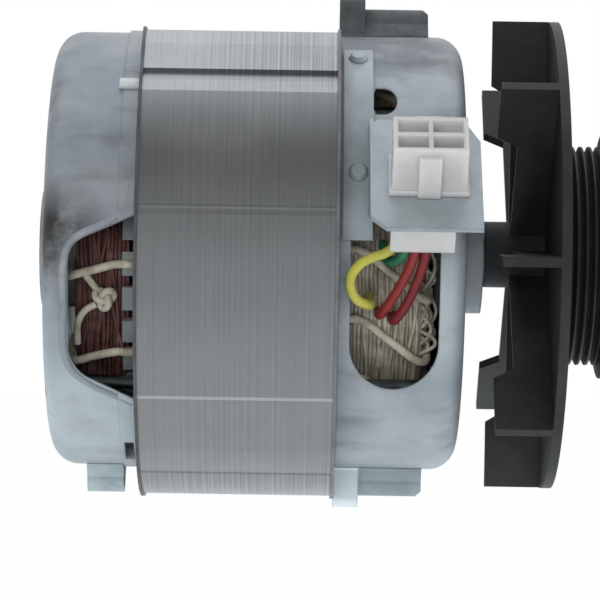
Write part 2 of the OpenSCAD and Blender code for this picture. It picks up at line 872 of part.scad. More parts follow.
// Strap round the bell's rim, with a gusset and a sloping shelf for the connector
module connector_bracket() {
    strap_out = strap_r + sheet_t;
    foot = [strap_out * cos(8), strap_out * sin(8)];
    shoulder = [strap_out * cos(34), strap_out * sin(34)];
    slope = [cos(shelf_tilt), sin(shelf_tilt)];
    corner = 4;
    gusset_len = 15;
    low = [shelf_y, shelf_z] + sheet_t * [slope.y, -slope.x] / 2 + corner * slope;
    high = low + (gusset_len - corner) * slope;
    gap = 0.2;
    color("#99a0a6") difference() {
        union() {
            rotate([90, 0, 90]) rotate(180 - strap_to) rotate_extrude(angle = strap_to - strap_from)
                translate([strap_r, strap_x]) square([sheet_t, strap_w]);
            along_x(shelf_x, sheet_t) difference() {
                polygon([low, high, [-shoulder.x, shoulder.y], [-foot.x, foot.y]]);
                circle(r = strap_r);
            }
            on_shelf() translate([shelf_x, 0, -sheet_t]) linear_extrude(sheet_t)
                polygon([[corner, 0], [shelf_w, 0], [shelf_w, shelf_len - 2 * corner],
                    [shelf_w - corner, shelf_len], [corner / 2, shelf_len], [0, shelf_len - corner / 2],
                    [0, corner]]);
        }
        on_shelf() block([plug_x - gap, plug_v - gap, -2 * sheet_t],
            [plug_x + plug_w + gap, plug_v + plug_h + gap, eps]);
        rivet_places() cylinder(h = bell_d, r = rivet_r + slip);
    }
}

module bracket_rivets() {
    tail_h = 0.8;
    tail_r = 2.4;
    crown = 1.3;
    crown_r = 1.8;
    inside = bell_in_r - 0.1;
    strap_out = strap_r + sheet_t;
    color("#8f959a") rivet_places() {
        translate([0, 0, inside - tail_h]) cylinder(h = tail_h, r = tail_r);
        translate([0, 0, inside - eps]) cylinder(h = strap_out - inside + 2 * eps, r = rivet_r);
        translate([0, 0, strap_out]) cylinder(h = crown, r1 = rivet_head_r, r2 = crown_r);
    }
}

// Places something in each of the connector's four cells
module cell_places() {
    step = [cell_w, cell_h] + [cell_wall, cell_wall];
    translate([plug_x + cell_wall, plug_v + cell_wall, 0])
        for (i = [0, 1]) for (j = [0, 1]) translate([i * step.x, j * step.y, 0]) children();
}

// Panel connector: mating sockets in front of the shelf, wire entry behind it
module connector_housing() {
    latch_w = 5.6;
    latch_t = 1.5;
    latch_short = 2;
    key_w = 6.6;
    key_t = 1.6;
    key_len = 6;
    snap = 1;
    snap_v = [4, 8];
    snap_z = [-4, -sheet_t - 0.2];
    neck_gap = 0.2;
    body_end = [plug_w, plug_h];
    flange = [plug_flange, plug_flange];
    neck = [neck_gap, neck_gap];
    color("#dcdcd8") on_shelf() difference() {
        translate([plug_x, plug_v, 0]) {
            block([0, 0, 0], [each body_end, plug_reach]);
            block([each -flange, 0], [each (body_end + flange), flange_sheet]);
            block([each neck, -neck_len], [each (body_end - neck), eps]);
            block([each neck, -tail_len], [tail_w, tail_h, -neck_len + eps]);
            block([neck_gap - snap, snap_v[0], snap_z[0]], [snap, snap_v[1], snap_z[1]]);
            block([plug_w - snap, snap_v[0], snap_z[0]], [plug_w - neck_gap + snap, snap_v[1], snap_z[1]]);
            translate([plug_w / 2, 0, 0])
                block([-latch_w / 2, -latch_t, 0], [latch_w / 2, eps, plug_reach - latch_short]);
            translate([plug_w / 2, plug_h, plug_reach])
                block([-key_w / 2, -cell_wall / 2, -key_len], [key_w / 2, key_t, -cell_wall]);
        }
        cell_places() block([0, 0, cell_floor], [cell_w, cell_h, plug_reach + eps]);
        cell_places() translate([cell_w / 2, cell_h / 2, 0])
            block([-blade_w / 2 - slip, -blade_sheet / 2 - slip, -blade_root],
                [blade_w / 2 + slip, blade_sheet / 2 + slip, cell_floor + eps]);
    }
}

module connector_terminals() {
    tip_z = plug_reach - 4;
    side = blade_w / 2;
    root_z = -blade_root + run;
    color("#c9b27a") on_shelf() cell_places() translate([cell_w / 2, (cell_h + blade_sheet) / 2, 0])
        rotate([90, 0, 0]) linear_extrude(blade_sheet)
            polygon([[-side, root_z], [side, root_z], [side, tip_z - blade_tip], [side - blade_tip, tip_z],
                [-side + blade_tip, tip_z], [-side, tip_z - blade_tip]]);
}

// Point on the connector's rear face where a lead comes out, counted from the strap
function lead_exit(place, out) = [
    lead_x0 + place * lead_step,
    shelf_y + lead_v * cos(shelf_tilt) + (tail_len + out) * sin(shelf_tilt),
    shelf_z + lead_v * sin(shelf_tilt) - (tail_len + out) * cos(shelf_tilt)
];

module lead(place, route) {
    tube(concat([lead_exit(place, 0.02), lead_exit(place, 1)], route), lead_d, 8);
}

module red_lead_a() {
    color("#8f2f28") lead(2, red_route_a);
}

module red_lead_b() {
    color("#8f2f28") lead(3, red_route_b);
}

module yellow_lead() {
    color("#c8b43c") lead(0, yellow_route);
}

module green_lead() {
    color("#3f7a4c") lead(1, green_route);
}

module bar_holes(clear) {
    for (i = [0:bar_count - 1])
        rotate(i * 360 / bar_count) translate([bar_circle, 0]) circle(r = bar_d / 2 + clear);
}

module rotor_core() {
    color("#77797b") along_x(core_x0, stack_len) difference() {
        circle(r = rotor_r);
        circle(d = shaft_d + 2 * slip);
        bar_holes(slip);
    }
}

// Cast cage: bars through the core between two finned end rings
module rotor_cage() {
    ring_out = rotor_r - 0.6;
    fin_h = 4;
    fin_w = 3;
    color("#a5a8aa") {
        along_x(core_x0, stack_len) bar_holes(0);
        for (x = [core_x0 - ring_t, core_x1]) ring(x, ring_t, cage_in, ring_out);
        for (x = [core_x0 - ring_t - fin_h, core_x1 + ring_t - eps]) along_x(x, fin_h + eps)
            for (i = [0:fin_count - 1]) rotate(i * 360 / fin_count)
                translate([cage_in + 1, -fin_w / 2]) square([ring_out - cage_in - 2, fin_w]);
    }
}

// Round section with one flat, for the shaft and the bores that it drives
module d_section(r, flat) {
    intersection() {
        circle(r = r);
        translate([-r, -r]) square([2 * r, r + flat]);
    }
}

module rotor_shaft() {
    body_x0 = rear_bearing_x + bearing_w;
    body_x1 = front_bearing_x;
    rear_tip = rear_bearing_x - 0.3;
    color("#a9adb0") {
        rod(rear_tip, body_x0 - rear_tip, journal_r);
        rod(body_x0, body_x1 - body_x0, shaft_d / 2);
        rod(body_x1, hub_x0 - body_x1, journal_r);
        along_x(hub_x0, washer_x - hub_x0) d_section(journal_r, shaft_flat);
        rod(washer_x, washer_t + nut_t + thread_spare, thread_d / 2);
    }
}

module fan_spacer() {
    spacer_x = front_bearing_x + bearing_w;
    color("#a0a4a7") ring(spacer_x, hub_x0 - spacer_x, journal_r + slip, journal_r + 1.9);
}

// Outline of a blade in radius and place along the shaft: low near the hub, tall at the rim
module fan_blade() {
    low_x = blade_x0 + blade_step;
    root = fan_hub_d / 2 - 1;
    rotate([90, 0, 0]) translate([0, 0, -blade_t / 2]) linear_extrude(blade_t)
        polygon([[root, low_x], [blade_step_r - blade_slope, low_x], [blade_step_r, blade_x0],
            [fan_d / 2, blade_x0], [fan_d / 2, fan_front_x - eps], [root, fan_front_x - eps]]);
}

module cooling_fan() {
    color("#242424") difference() {
        union() {
            rod(hub_x0, fan_len, fan_hub_d / 2);
            rod(fan_front_x - fan_plate_t, fan_plate_t, fan_d / 2);
            for (i = [0:blade_count - 1])
                rotate([180 - blade_lead_angle + i * 360 / blade_count, 0, 0]) rotate([90, 0, 90]) fan_blade();
        }
        along_x(hub_x0 - eps, fan_len + 2 * eps) d_section(journal_r + slip, shaft_flat + slip);
    }
}

// Ribbed rim with a web, ribs and a hub
module belt_pulley() {
    rim_len = groove_count * groove_pitch;
    tip_r = pulley_d / 2;
    rim_in = tip_r - groove_depth - 3;
    web_t = 3;
    hub_r = 10;
    rib_count = 6;
    rib_t = 2.4;
    rib_h = 5;
    tip_w = 0.5;
    color("#202122") difference() {
        union() {
            turned() translate([0, fan_front_x]) {
                difference() {
                    translate([rim_in, 0]) square([tip_r - rim_in, rim_len]);
                    for (i = [0:groove_count - 1]) translate([0, (i + 0.5) * groove_pitch])
                        polygon([[tip_r - groove_depth, 0], [tip_r + eps, (groove_pitch - tip_w) / 2 + eps / 3],
                            [tip_r + eps, -(groove_pitch - tip_w) / 2 - eps / 3]]);
                }
                translate([hub_r - 1, 0]) square([rim_in - hub_r + 1 + eps, web_t]);
                square([hub_r, pulley_hub_len]);
            }
            along_x(fan_front_x + web_t - eps, rib_h) for (i = [0:rib_count - 1]) rotate(i * 360 / rib_count)
                translate([hub_r - 1, -rib_t / 2]) square([rim_in - hub_r + 1 + eps, rib_t]);
        }
        along_x(fan_front_x - eps, pulley_hub_len + 2 * eps) d_section(journal_r + slip, shaft_flat + slip);
    }
}

// Flange ring on the end of the ribbed rim, with a tapered inner side that guides the belt
module pulley_flange() {
    ring_in = pulley_d / 2 - groove_depth - 3;
    foot = pulley_d / 2 - groove_depth - ring_in;
    wide = flange_d / 2 - ring_in;
    color("#262728") turned() translate([ring_in, fan_front_x + groove_count * groove_pitch])
        polygon([[0, 0], [foot, 0], [wide, flange_t * 0.45], [wide, flange_t], [0, flange_t]]);
}

module pulley_washer() {
    color("#a7abae") ring(washer_x, washer_t, thread_d / 2 + slip, washer_r);
}

module pulley_nut() {
    across_flats = 17;
    color("#9da1a4") difference() {
        translate([nut_x, 0, 0]) rotate([0, 90, 0]) cylinder(h = nut_t, r = across_flats / sqrt(3), $fn = 6);
        rod(nut_x - eps, nut_t + 2 * eps, thread_d / 2 + slip);
    }
}

stator_stack();
rear_end_plate();
front_end_plate();
rear_insulator();
front_insulator();
slot_conductors();
slot_wedges();
rear_winding_core();
front_winding_core();
rear_winding_wire();
front_winding_wire();
rear_lacing();
front_lacing();
rear_end_bell();
front_end_bell();
upper_mount_lug();
lower_mount_lug();
rear_mount_lug();
clamp_bolts();
rear_bearing_outer_race();
front_bearing_outer_race();
wave_washer();
connector_bracket();
bracket_rivets();
connector_housing();
connector_terminals();
red_lead_a();
red_lead_b();
yellow_lead();
green_lead();
rotor_core();
rotor_cage();
rotor_shaft();
rear_bearing_inner_race();
front_bearing_inner_race();
fan_spacer();
cooling_fan();
belt_pulley();
pulley_flange();
pulley_washer();
pulley_nut();
rear_bearing_balls();
rear_ball_cage();
front_bearing_balls();
front_ball_cage();
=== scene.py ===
import math
import random

import bpy
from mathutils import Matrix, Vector


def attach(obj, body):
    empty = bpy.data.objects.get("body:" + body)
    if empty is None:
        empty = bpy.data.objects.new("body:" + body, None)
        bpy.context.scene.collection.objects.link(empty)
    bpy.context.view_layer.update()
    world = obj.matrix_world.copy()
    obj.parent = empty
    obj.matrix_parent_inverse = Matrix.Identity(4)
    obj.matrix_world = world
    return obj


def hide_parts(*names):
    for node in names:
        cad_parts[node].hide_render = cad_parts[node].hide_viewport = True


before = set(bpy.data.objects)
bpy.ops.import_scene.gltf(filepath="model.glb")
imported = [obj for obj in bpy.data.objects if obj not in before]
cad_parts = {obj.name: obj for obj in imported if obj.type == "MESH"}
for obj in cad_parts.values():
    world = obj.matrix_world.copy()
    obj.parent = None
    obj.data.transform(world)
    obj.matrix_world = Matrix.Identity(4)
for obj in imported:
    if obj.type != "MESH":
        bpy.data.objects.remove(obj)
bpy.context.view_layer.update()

print("frame loaded:", len(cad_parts), "nodes")

mm = 0.001
weldMm = 0.002  # points closer than this become one


def toLinear(hexColour):  # sRGB hex to linear RGBA
    parts = [int(hexColour[i:i + 2], 16) / 255 for i in (1, 3, 5)]
    return [p / 12.92 if p <= 0.04045 else ((p + 0.055) / 1.055) ** 2.4 for p in parts] + [1]


# One node, with its settings and its links. A Mix node repeats its socket names, so its inputs go by number:
# 0 is the share, 2 and 3 are the two numbers, 6 and 7 the two colours
def addNode(tree, kind, inputs=None, **settings):
    node = tree.nodes.new(kind)
    for key, value in settings.items():
        setattr(node, key, value)
    for key, value in (inputs or {}).items():
        if isinstance(value, bpy.types.NodeSocket):
            tree.links.new(value, node.inputs[key])
        else:
            node.inputs[key].default_value = value
    return node


def startMaterial(name, sockets):  # a Principled material and its object coordinates
    material = bpy.data.materials.new(name)
    material.use_nodes = True
    tree = material.node_tree
    shader = tree.nodes["Principled BSDF"]
    for key, value in sockets.items():
        shader.inputs[key].default_value = value
    return material, tree, shader, addNode(tree, "ShaderNodeTexCoord").outputs["Object"]


def feedShader(tree, shader, outputs):  # what the nodes work out goes into the shader
    for key, output in outputs.items():
        tree.links.new(output, shader.inputs[key])


def deselectAll():
    if bpy.context.object and bpy.context.object.mode != "OBJECT":
        bpy.ops.object.mode_set(mode="OBJECT")
    bpy.ops.object.select_all(action="DESELECT")


def selectOnly(piece):
    deselectAll()
    piece.select_set(True)
    bpy.context.view_layer.objects.active = piece


def newPrimitive(operator, **settings):  # nothing else stays selected
    deselectAll()
    operator(**settings)
    return bpy.context.object


def settle(piece):  # the place goes into the mesh
    selectOnly(piece)
    bpy.ops.object.transform_apply(location=True, rotation=True, scale=True)


def applyModifier(piece, kind, **settings):
    selectOnly(piece)
    modifier = piece.modifiers.new(kind.lower(), kind)
    for key, value in settings.items():
        setattr(modifier, key, value)
    bpy.ops.object.modifier_apply(modifier=modifier.name)


def joinPieces(pieces, name):
    selectOnly(pieces[0])
    for piece in pieces[1:]:
        piece.select_set(True)
    bpy.ops.object.join()
    joined = bpy.context.object
    joined.name = name
    joined.data.name = name
    return joined


def closeAndTurnOut(piece):  # open ends filled, faces pointing outwards
    selectOnly(piece)
    bpy.ops.object.mode_set(mode="EDIT")
    bpy.ops.mesh.select_all(action="SELECT")
    bpy.ops.mesh.remove_doubles(threshold=weldMm * mm)
    bpy.ops.mesh.fill_holes(sides=0)
    bpy.ops.mesh.select_all(action="SELECT")
    bpy.ops.mesh.normals_make_consistent(inside=False)
    bpy.ops.object.mode_set(mode="OBJECT")


def shadeSmooth(piece, angle=40):  # edges sharper than this many degrees stay sharp
    selectOnly(piece)
    bpy.ops.object.shade_smooth_by_angle(angle=math.radians(angle))


def dress(material, *names):  # gives CAD nodes their finish
    for name in names:
        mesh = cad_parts[name].data
        mesh.materials.clear()
        mesh.materials.append(material)


def handOver(piece, body, slot, material, *stoodFor):  # a new piece takes its place on the part
    piece.data.materials.clear()
    piece.data.materials.append(material)
    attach(piece, body)
    if stoodFor:
        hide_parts(*stoodFor)


# Camera at the photograph's place: level with the motor, side on, with a slight roll in degrees
camera = {
    "lens": 186.1,
    "sensor": 36,
    "place": (-33.7 * mm, -850 * mm, -13.3 * mm),
    "roll": 0.92,
}


def setCamera(spec):
    data = bpy.data.cameras.new("photoCamera")
    data.lens = spec["lens"]
    data.sensor_width = spec["sensor"]
    holder = bpy.data.objects.new("photoCamera", data)
    bpy.context.scene.collection.objects.link(holder)
    holder.location = spec["place"]
    holder.rotation_euler = (math.radians(90), math.radians(-spec["roll"]), 0)
    bpy.context.scene.camera = holder


setCamera(camera)
print("camera set")


# Light: a softbox overhead, a stronger lamp in front and a weak one at the side, in metres and watts
studio = {
    "lamps": [
        {"name": "keyLight", "place": (-0.05, 0.05, 1.2), "size": 1.0, "watts": 3.0},
        {"name": "frontLight", "place": (-0.3, -1.4, 0.2), "size": 0.9, "watts": 10.0},
        {"name": "sideLight", "place": (1.2, -0.4, 0.5), "size": 0.8, "watts": 2.0},
    ],
    "ambient": 0.3,  # light from the world all round
    "coolTint": "#EFF6F9",  # of what the floor and the cards throw
}


def addLamp(spec):
    lamp = bpy.data.lights.new(spec["name"], "AREA")
    lamp.shape = "SQUARE"
    lamp.size = spec["size"]
    lamp.energy = spec["watts"]
    holder = bpy.data.objects.new(spec["name"], lamp)
    bpy.context.scene.collection.objects.link(holder)
    holder.location = spec["place"]
    holder.rotation_euler = (-Vector(spec["place"])).to_track_quat("-Z", "Y").to_euler()
    holder.visible_glossy = False


def seenRays(tree):  # 1 for what the camera, a reflection or a clear body sees
    rays = addNode(tree, "ShaderNodeLightPath")
    either = addNode(tree, "ShaderNodeMath", {
        0: rays.outputs["Is Camera Ray"], 1: rays.outputs["Is Glossy Ray"]}, operation="MAXIMUM")
    seen = addNode(tree, "ShaderNodeMath", {
        0: either.outputs[0], 1: rays.outputs["Is Transmission Ray"]}, operation="MAXIMUM")
    return seen.outputs[0], rays.outputs


def setLight(spec):
    for lamp in spec["lamps"]:
        addLamp(lamp)
    world = bpy.data.worlds.new("studio")
    bpy.context.scene.world = world
    world.use_nodes = True
    tree = world.node_tree
    background = tree.nodes["Background"]
    background.inputs["Color"].default_value = (1, 1, 1, 1)
    shade = addNode(tree, "ShaderNodeMapRange", {
        "Value": seenRays(tree)[0], "To Min": spec["ambient"], "To Max": 1.0})
    tree.links.new(shade.outputs[0], background.inputs["Strength"])


# White paper floor. Its glow lifts it to white where it is seen, and throws light up on the motor
paper = {
    "z": -69.8 * mm,
    "radius": 0.9,
    "sides": 96,
    "colour": "#F6F7F7",
    "rough": 0.9,
    "shown": 0.985,  # share of the glow where it is seen
    "bounce": 0.95,  # share of the glow in the light that it throws up
    "lit": 1.25,  # strength of that light
    # strength in reflections: from ahead to close by, and what is added under the motor
    "aheadY": -0.2,
    "ahead": 0.42,
    "closeY": -0.04,
    "close": 0.62,
    "underY": 0.03,
    "under": 0.8,
}


def whiteFloor(spec, coolTint):  # matt white paper, and in reflections brightest under the motor
    material, tree, shader, place = startMaterial("whiteFloor", {
        "Base Color": toLinear(spec["colour"]), "Roughness": spec["rough"]})
    seen, rays = seenRays(tree)
    glossy = rays["Is Glossy Ray"]
    split = addNode(tree, "ShaderNodeSeparateXYZ", {"Vector": place})
    close = addNode(tree, "ShaderNodeMapRange", {
        "Value": split.outputs["Y"], "From Min": spec["aheadY"], "From Max": spec["closeY"],
        "To Min": spec["ahead"], "To Max": spec["close"]})
    under = addNode(tree, "ShaderNodeMapRange", {
        "Value": split.outputs["Y"], "From Min": spec["closeY"], "From Max": spec["underY"],
        "To Max": spec["under"]})
    mirrored = addNode(tree, "ShaderNodeMath", {0: close.outputs[0], 1: under.outputs[0]}, operation="ADD")
    lit = addNode(tree, "ShaderNodeMix", {0: rays["Is Diffuse Ray"], 2: 1.0, 3: spec["lit"]})
    level = addNode(tree, "ShaderNodeMix", {0: glossy, 2: lit.outputs[0], 3: mirrored.outputs[0]})
    tint = addNode(tree, "ShaderNodeMix", {
        0: rays["Is Camera Ray"], 6: toLinear(coolTint), 7: (1, 1, 1, 1)}, data_type="RGBA")
    glow = addNode(tree, "ShaderNodeEmission", {"Color": tint.outputs[2], "Strength": level.outputs[0]})
    shown = addNode(tree, "ShaderNodeMath", {0: seen, 1: spec["shown"]}, operation="MULTIPLY")
    bounce = addNode(tree, "ShaderNodeMath", {
        0: rays["Is Diffuse Ray"], 1: spec["bounce"]}, operation="MULTIPLY")
    lifted = addNode(tree, "ShaderNodeMath", {0: shown.outputs[0], 1: bounce.outputs[0]}, operation="MAXIMUM")
    share = addNode(tree, "ShaderNodeMath", {0: lifted.outputs[0], 1: glossy}, operation="MAXIMUM")
    mix = addNode(tree, "ShaderNodeMixShader", {
        0: share.outputs[0], 1: shader.outputs[0], 2: glow.outputs[0]})
    tree.links.new(mix.outputs[0], tree.nodes["Material Output"].inputs["Surface"])
    return material


def layFloor(spec, coolTint):
    floor = newPrimitive(bpy.ops.mesh.primitive_circle_add, vertices=spec["sides"], radius=spec["radius"],
                         fill_type="NGON", location=(0, 0, spec["z"]))
    floor.name = "floor"
    settle(floor)
    floor.data.materials.append(whiteFloor(spec, coolTint))


# Grey cards for the metal to mirror: four on an arc over the front, in degrees above level, and one at left
cards = {
    "arc": [
        {"from": 79, "to": 125, "level": 1.4},
        {"from": 56, "to": 78, "level": 0.4},
        {"from": 27, "to": 56, "level": 0.1},
        {"from": -3, "to": 27, "level": 0.27},
    ],
    "reach": 1.0,
    "width": 3.2,
    "left": {"x": -1.1, "size": 2.0, "level": 0.2},
}


def glowMaterial(name, strength, tint):
    material, tree = startMaterial(name, {})[:2]
    glow = addNode(tree, "ShaderNodeEmission", {"Color": toLinear(tint), "Strength": strength})
    tree.links.new(glow.outputs[0], tree.nodes["Material Output"].inputs["Surface"])
    return material


def hangCard(plane, name, level, tint):  # only what shines sees it
    plane.name = name
    settle(plane)
    plane.visible_camera = False
    plane.visible_diffuse = False
    plane.visible_shadow = False
    plane.visible_transmission = False
    plane.data.materials.append(glowMaterial(name, level, tint))


def hangCards(spec, tint):
    reach = spec["reach"]
    for number, card in enumerate(spec["arc"]):  # each is flat and touches the arc at its middle
        middle = math.radians((card["from"] + card["to"]) / 2)
        half = math.radians((card["to"] - card["from"]) / 2)
        plane = newPrimitive(bpy.ops.mesh.primitive_plane_add, size=1,
                             location=(0, -reach * math.cos(middle), reach * math.sin(middle)))
        plane.scale = (spec["width"], 2 * reach * math.tan(half), 1)
        plane.rotation_euler = (math.radians(90) - middle, 0, 0)
        hangCard(plane, "greyCard%d" % number, card["level"], tint)
    left = spec["left"]
    plane = newPrimitive(bpy.ops.mesh.primitive_plane_add, size=left["size"], location=(left["x"], 0, 0),
                         rotation=(0, math.radians(90), 0))
    hangCard(plane, "leftCard", left["level"], tint)


setLight(studio)
layFloor(paper, studio["coolTint"])
hangCards(cards, studio["coolTint"])
bpy.context.scene.view_settings.view_transform = "Standard"
print("studio set")


# Finishes. Sizes of patterns are in mm. A pattern shows where its noise is past From, and fully past Full


def markedColour(tree, place, spec):  # a base colour under ragged marks: gives their noise and the colour
    noise = addNode(tree, "ShaderNodeTexNoise", {
        "Vector": place, "Scale": 1 / (spec["markMm"] * mm), "Detail": spec["detail"],
        "Roughness": spec["ragged"]})
    amount = addNode(tree, "ShaderNodeMapRange", {
        "Value": noise.outputs[0], "From Min": spec["markFrom"], "From Max": spec["markFull"]})
    colour = addNode(tree, "ShaderNodeMix", {
        0: amount.outputs[0], 6: toLinear(spec["base"]), 7: toLinear(spec["mark"])}, data_type="RGBA")
    return noise.outputs[0], colour.outputs[2]


stackFinish = {
    "base": "#B3B3B4",
    "line": "#959597",
    "pale": "#C2C1C0",
    "metallic": 0.9,
    "plateMm": 0.7,  # plates are usually 0.5, and drawn coarser so that their lines show
    "lineFrom": 0.36,
    "lineFull": 0.66,
    "stainMm": 18,
    "stainFrom": 0.35,
    "stainFull": 0.7,
    "cleanLines": 0.25,  # strength of the lines where it is clean and where it is stained
    "stainedLines": 0.8,
    "paleFrom": 0.5,
    "paleFull": 0.75,
    "paleMost": 0.5,
    "topZ": (40, 46),  # the lines are stronger past these heights, towards the front end
    "frontX": (-60, -34),
    "footZ": (-58, -60),  # and below these
    "rough": (0.28, 0.44),
    "lineBump": 0.2,
    "lineDeepMm": 0.1,
    # level, half width, colour and strength of the long lines along the stack: a seam, a painted highlight
    # and painted shade
    "marks": [
        (-38.9, 0.4, "#F4F4F2", 0.5),  # painted highlight where light catches the edge of a flat
        (-59.3, 0.3, "#5F6164", 0.5),  # painted shade under the edge of the low flat
        (43.8, 0.7, "#8C8A8F", 0.35),  # painted shade along the border of the cleat groove
        (9.7, 0.22, "#D8D8D6", 0.5),  # seam
    ],
}


def laminatedSteel(spec):  # steel plates edge-on: dull grey with fine upright lines, stained and clouded, with lines of painted highlight and painted shade along it
    material, tree, shader, place = startMaterial("laminatedSteel", {"Metallic": spec["metallic"]})
    split = addNode(tree, "ShaderNodeSeparateXYZ", {"Vector": place})
    lines = addNode(tree, "ShaderNodeTexNoise", {
        "W": split.outputs["X"], "Scale": 1 / (spec["plateMm"] * mm), "Detail": 2.0, "Roughness": 0.7,
    }, noise_dimensions="1D")
    sharp = addNode(tree, "ShaderNodeMapRange", {
        "Value": lines.outputs[0], "From Min": spec["lineFrom"], "From Max": spec["lineFull"]})
    stain = addNode(tree, "ShaderNodeTexNoise", {
        "Vector": place, "Scale": 1 / (spec["stainMm"] * mm), "Detail": 4.0})
    strength = addNode(tree, "ShaderNodeMapRange", {
        "Value": stain.outputs[0], "From Min": spec["stainFrom"], "From Max": spec["stainFull"],
        "To Min": spec["cleanLines"], "To Max": spec["stainedLines"]})
    high = addNode(tree, "ShaderNodeMapRange", {
        "Value": split.outputs["Z"], "From Min": spec["topZ"][0] * mm, "From Max": spec["topZ"][1] * mm})
    ahead = addNode(tree, "ShaderNodeMapRange", {
        "Value": split.outputs["X"], "From Min": spec["frontX"][0] * mm, "From Max": spec["frontX"][1] * mm})
    worn = addNode(tree, "ShaderNodeMath", {
        0: high.outputs[0], 1: ahead.outputs[0], 2: strength.outputs[0]}, operation="MULTIPLY_ADD")
    low = addNode(tree, "ShaderNodeMapRange", {
        "Value": split.outputs["Z"], "From Min": spec["footZ"][0] * mm, "From Max": spec["footZ"][1] * mm})
    etched = addNode(tree, "ShaderNodeMath", {0: worn.outputs[0], 1: low.outputs[0]}, operation="ADD")
    amount = addNode(tree, "ShaderNodeMath", {
        0: sharp.outputs[0], 1: etched.outputs[0]}, operation="MULTIPLY")
    dark = addNode(tree, "ShaderNodeMix", {
        0: amount.outputs[0], 6: toLinear(spec["base"]), 7: toLinear(spec["line"])}, data_type="RGBA")
    cloudy = addNode(tree, "ShaderNodeMapRange", {
        "Value": stain.outputs[0], "From Min": spec["paleFrom"], "From Max": spec["paleFull"],
        "To Max": spec["paleMost"]})
    colour = addNode(tree, "ShaderNodeMix", {
        0: cloudy.outputs[0], 6: dark.outputs[2], 7: toLinear(spec["pale"])}, data_type="RGBA")
    # lines at given heights: a seam, a painted highlight and bands of painted shade
    for level, half, mark, strong in spec["marks"]:
        near = addNode(tree, "ShaderNodeMath", {
            0: split.outputs["Z"], 1: level * mm, 2: half * mm}, operation="COMPARE")
        lineAndPaintedLightShare = addNode(tree, "ShaderNodeMath", {0: near.outputs[0], 1: strong}, operation="MULTIPLY")
        colour = addNode(tree, "ShaderNodeMix", {
            0: lineAndPaintedLightShare.outputs[0], 6: colour.outputs[2], 7: toLinear(mark)}, data_type="RGBA")
    rough = addNode(tree, "ShaderNodeMapRange", {
        "Value": stain.outputs[0], "To Min": spec["rough"][0], "To Max": spec["rough"][1]})
    bump = addNode(tree, "ShaderNodeBump", {
        "Height": lines.outputs[0], "Strength": spec["lineBump"], "Distance": spec["lineDeepMm"] * mm})
    feedShader(tree, shader, {
        "Base Color": colour.outputs[2], "Roughness": rough.outputs[0], "Normal": bump.outputs[0]})
    return material


bellFinish = {
    "base": "#ABB0B5",
    "mark": "#979FA7",
    "markMm": 20,
    "markFrom": 0.38,
    "markFull": 0.62,
    "detail": 5.0,
    "ragged": 0.6,
    "metallic": 0.4,
    "stain": "#74777A",
    "streakMm": 9,
    "streakScale": (0.45, 1, 1.5),  # drawn out along the shaft, and closer together upright
    "streakFrom": 0.52,
    "streakFull": 0.82,
    "streakMost": 0.7,
    "rough": (0.42, 0.6),
    "grainMm": 0.8,  # the cast grain is finer, and drawn this coarse to show
    "grainBump": 0.12,
    "grainDeepMm": 0.1,
    "edgeMm": 1.0,
    "patchFrom": 0.25,
    "patchFull": 0.46,
    # dark and pale patches, broken up by the mottling: middle, full within and gone past these distances,
    # colour and strength
    "patchesAndPaintedLight": [
        # dark brownish patch beside the near rear window, left of its lip
        ((-97, -56, 1.5), (5, 16.5), "#3A3732", 0.95),
        # pale bluish patch low on the rear bell: painted light from below
        ((-88, -40, -44), (12, 30), "#D3DEE4", 0.45),
    ],
}
# The front bell: the bell's finish made a little lighter as painted light
frontBellFinishAndPaintedLight = dict(bellFinish, base="#B0B5BA", mark="#9DA5AD", patchesAndPaintedLight=[
    # painted shadow on the bell's top, where the connector plate shades it
    ((-8, -26, 55), (9, 23), "#666B72", 0.7),
    # painted light on the side right of the window, where the bell turns towards the fan
    ((8, -55, -17), (9, 20), "#E4EAEE", 0.3),
])


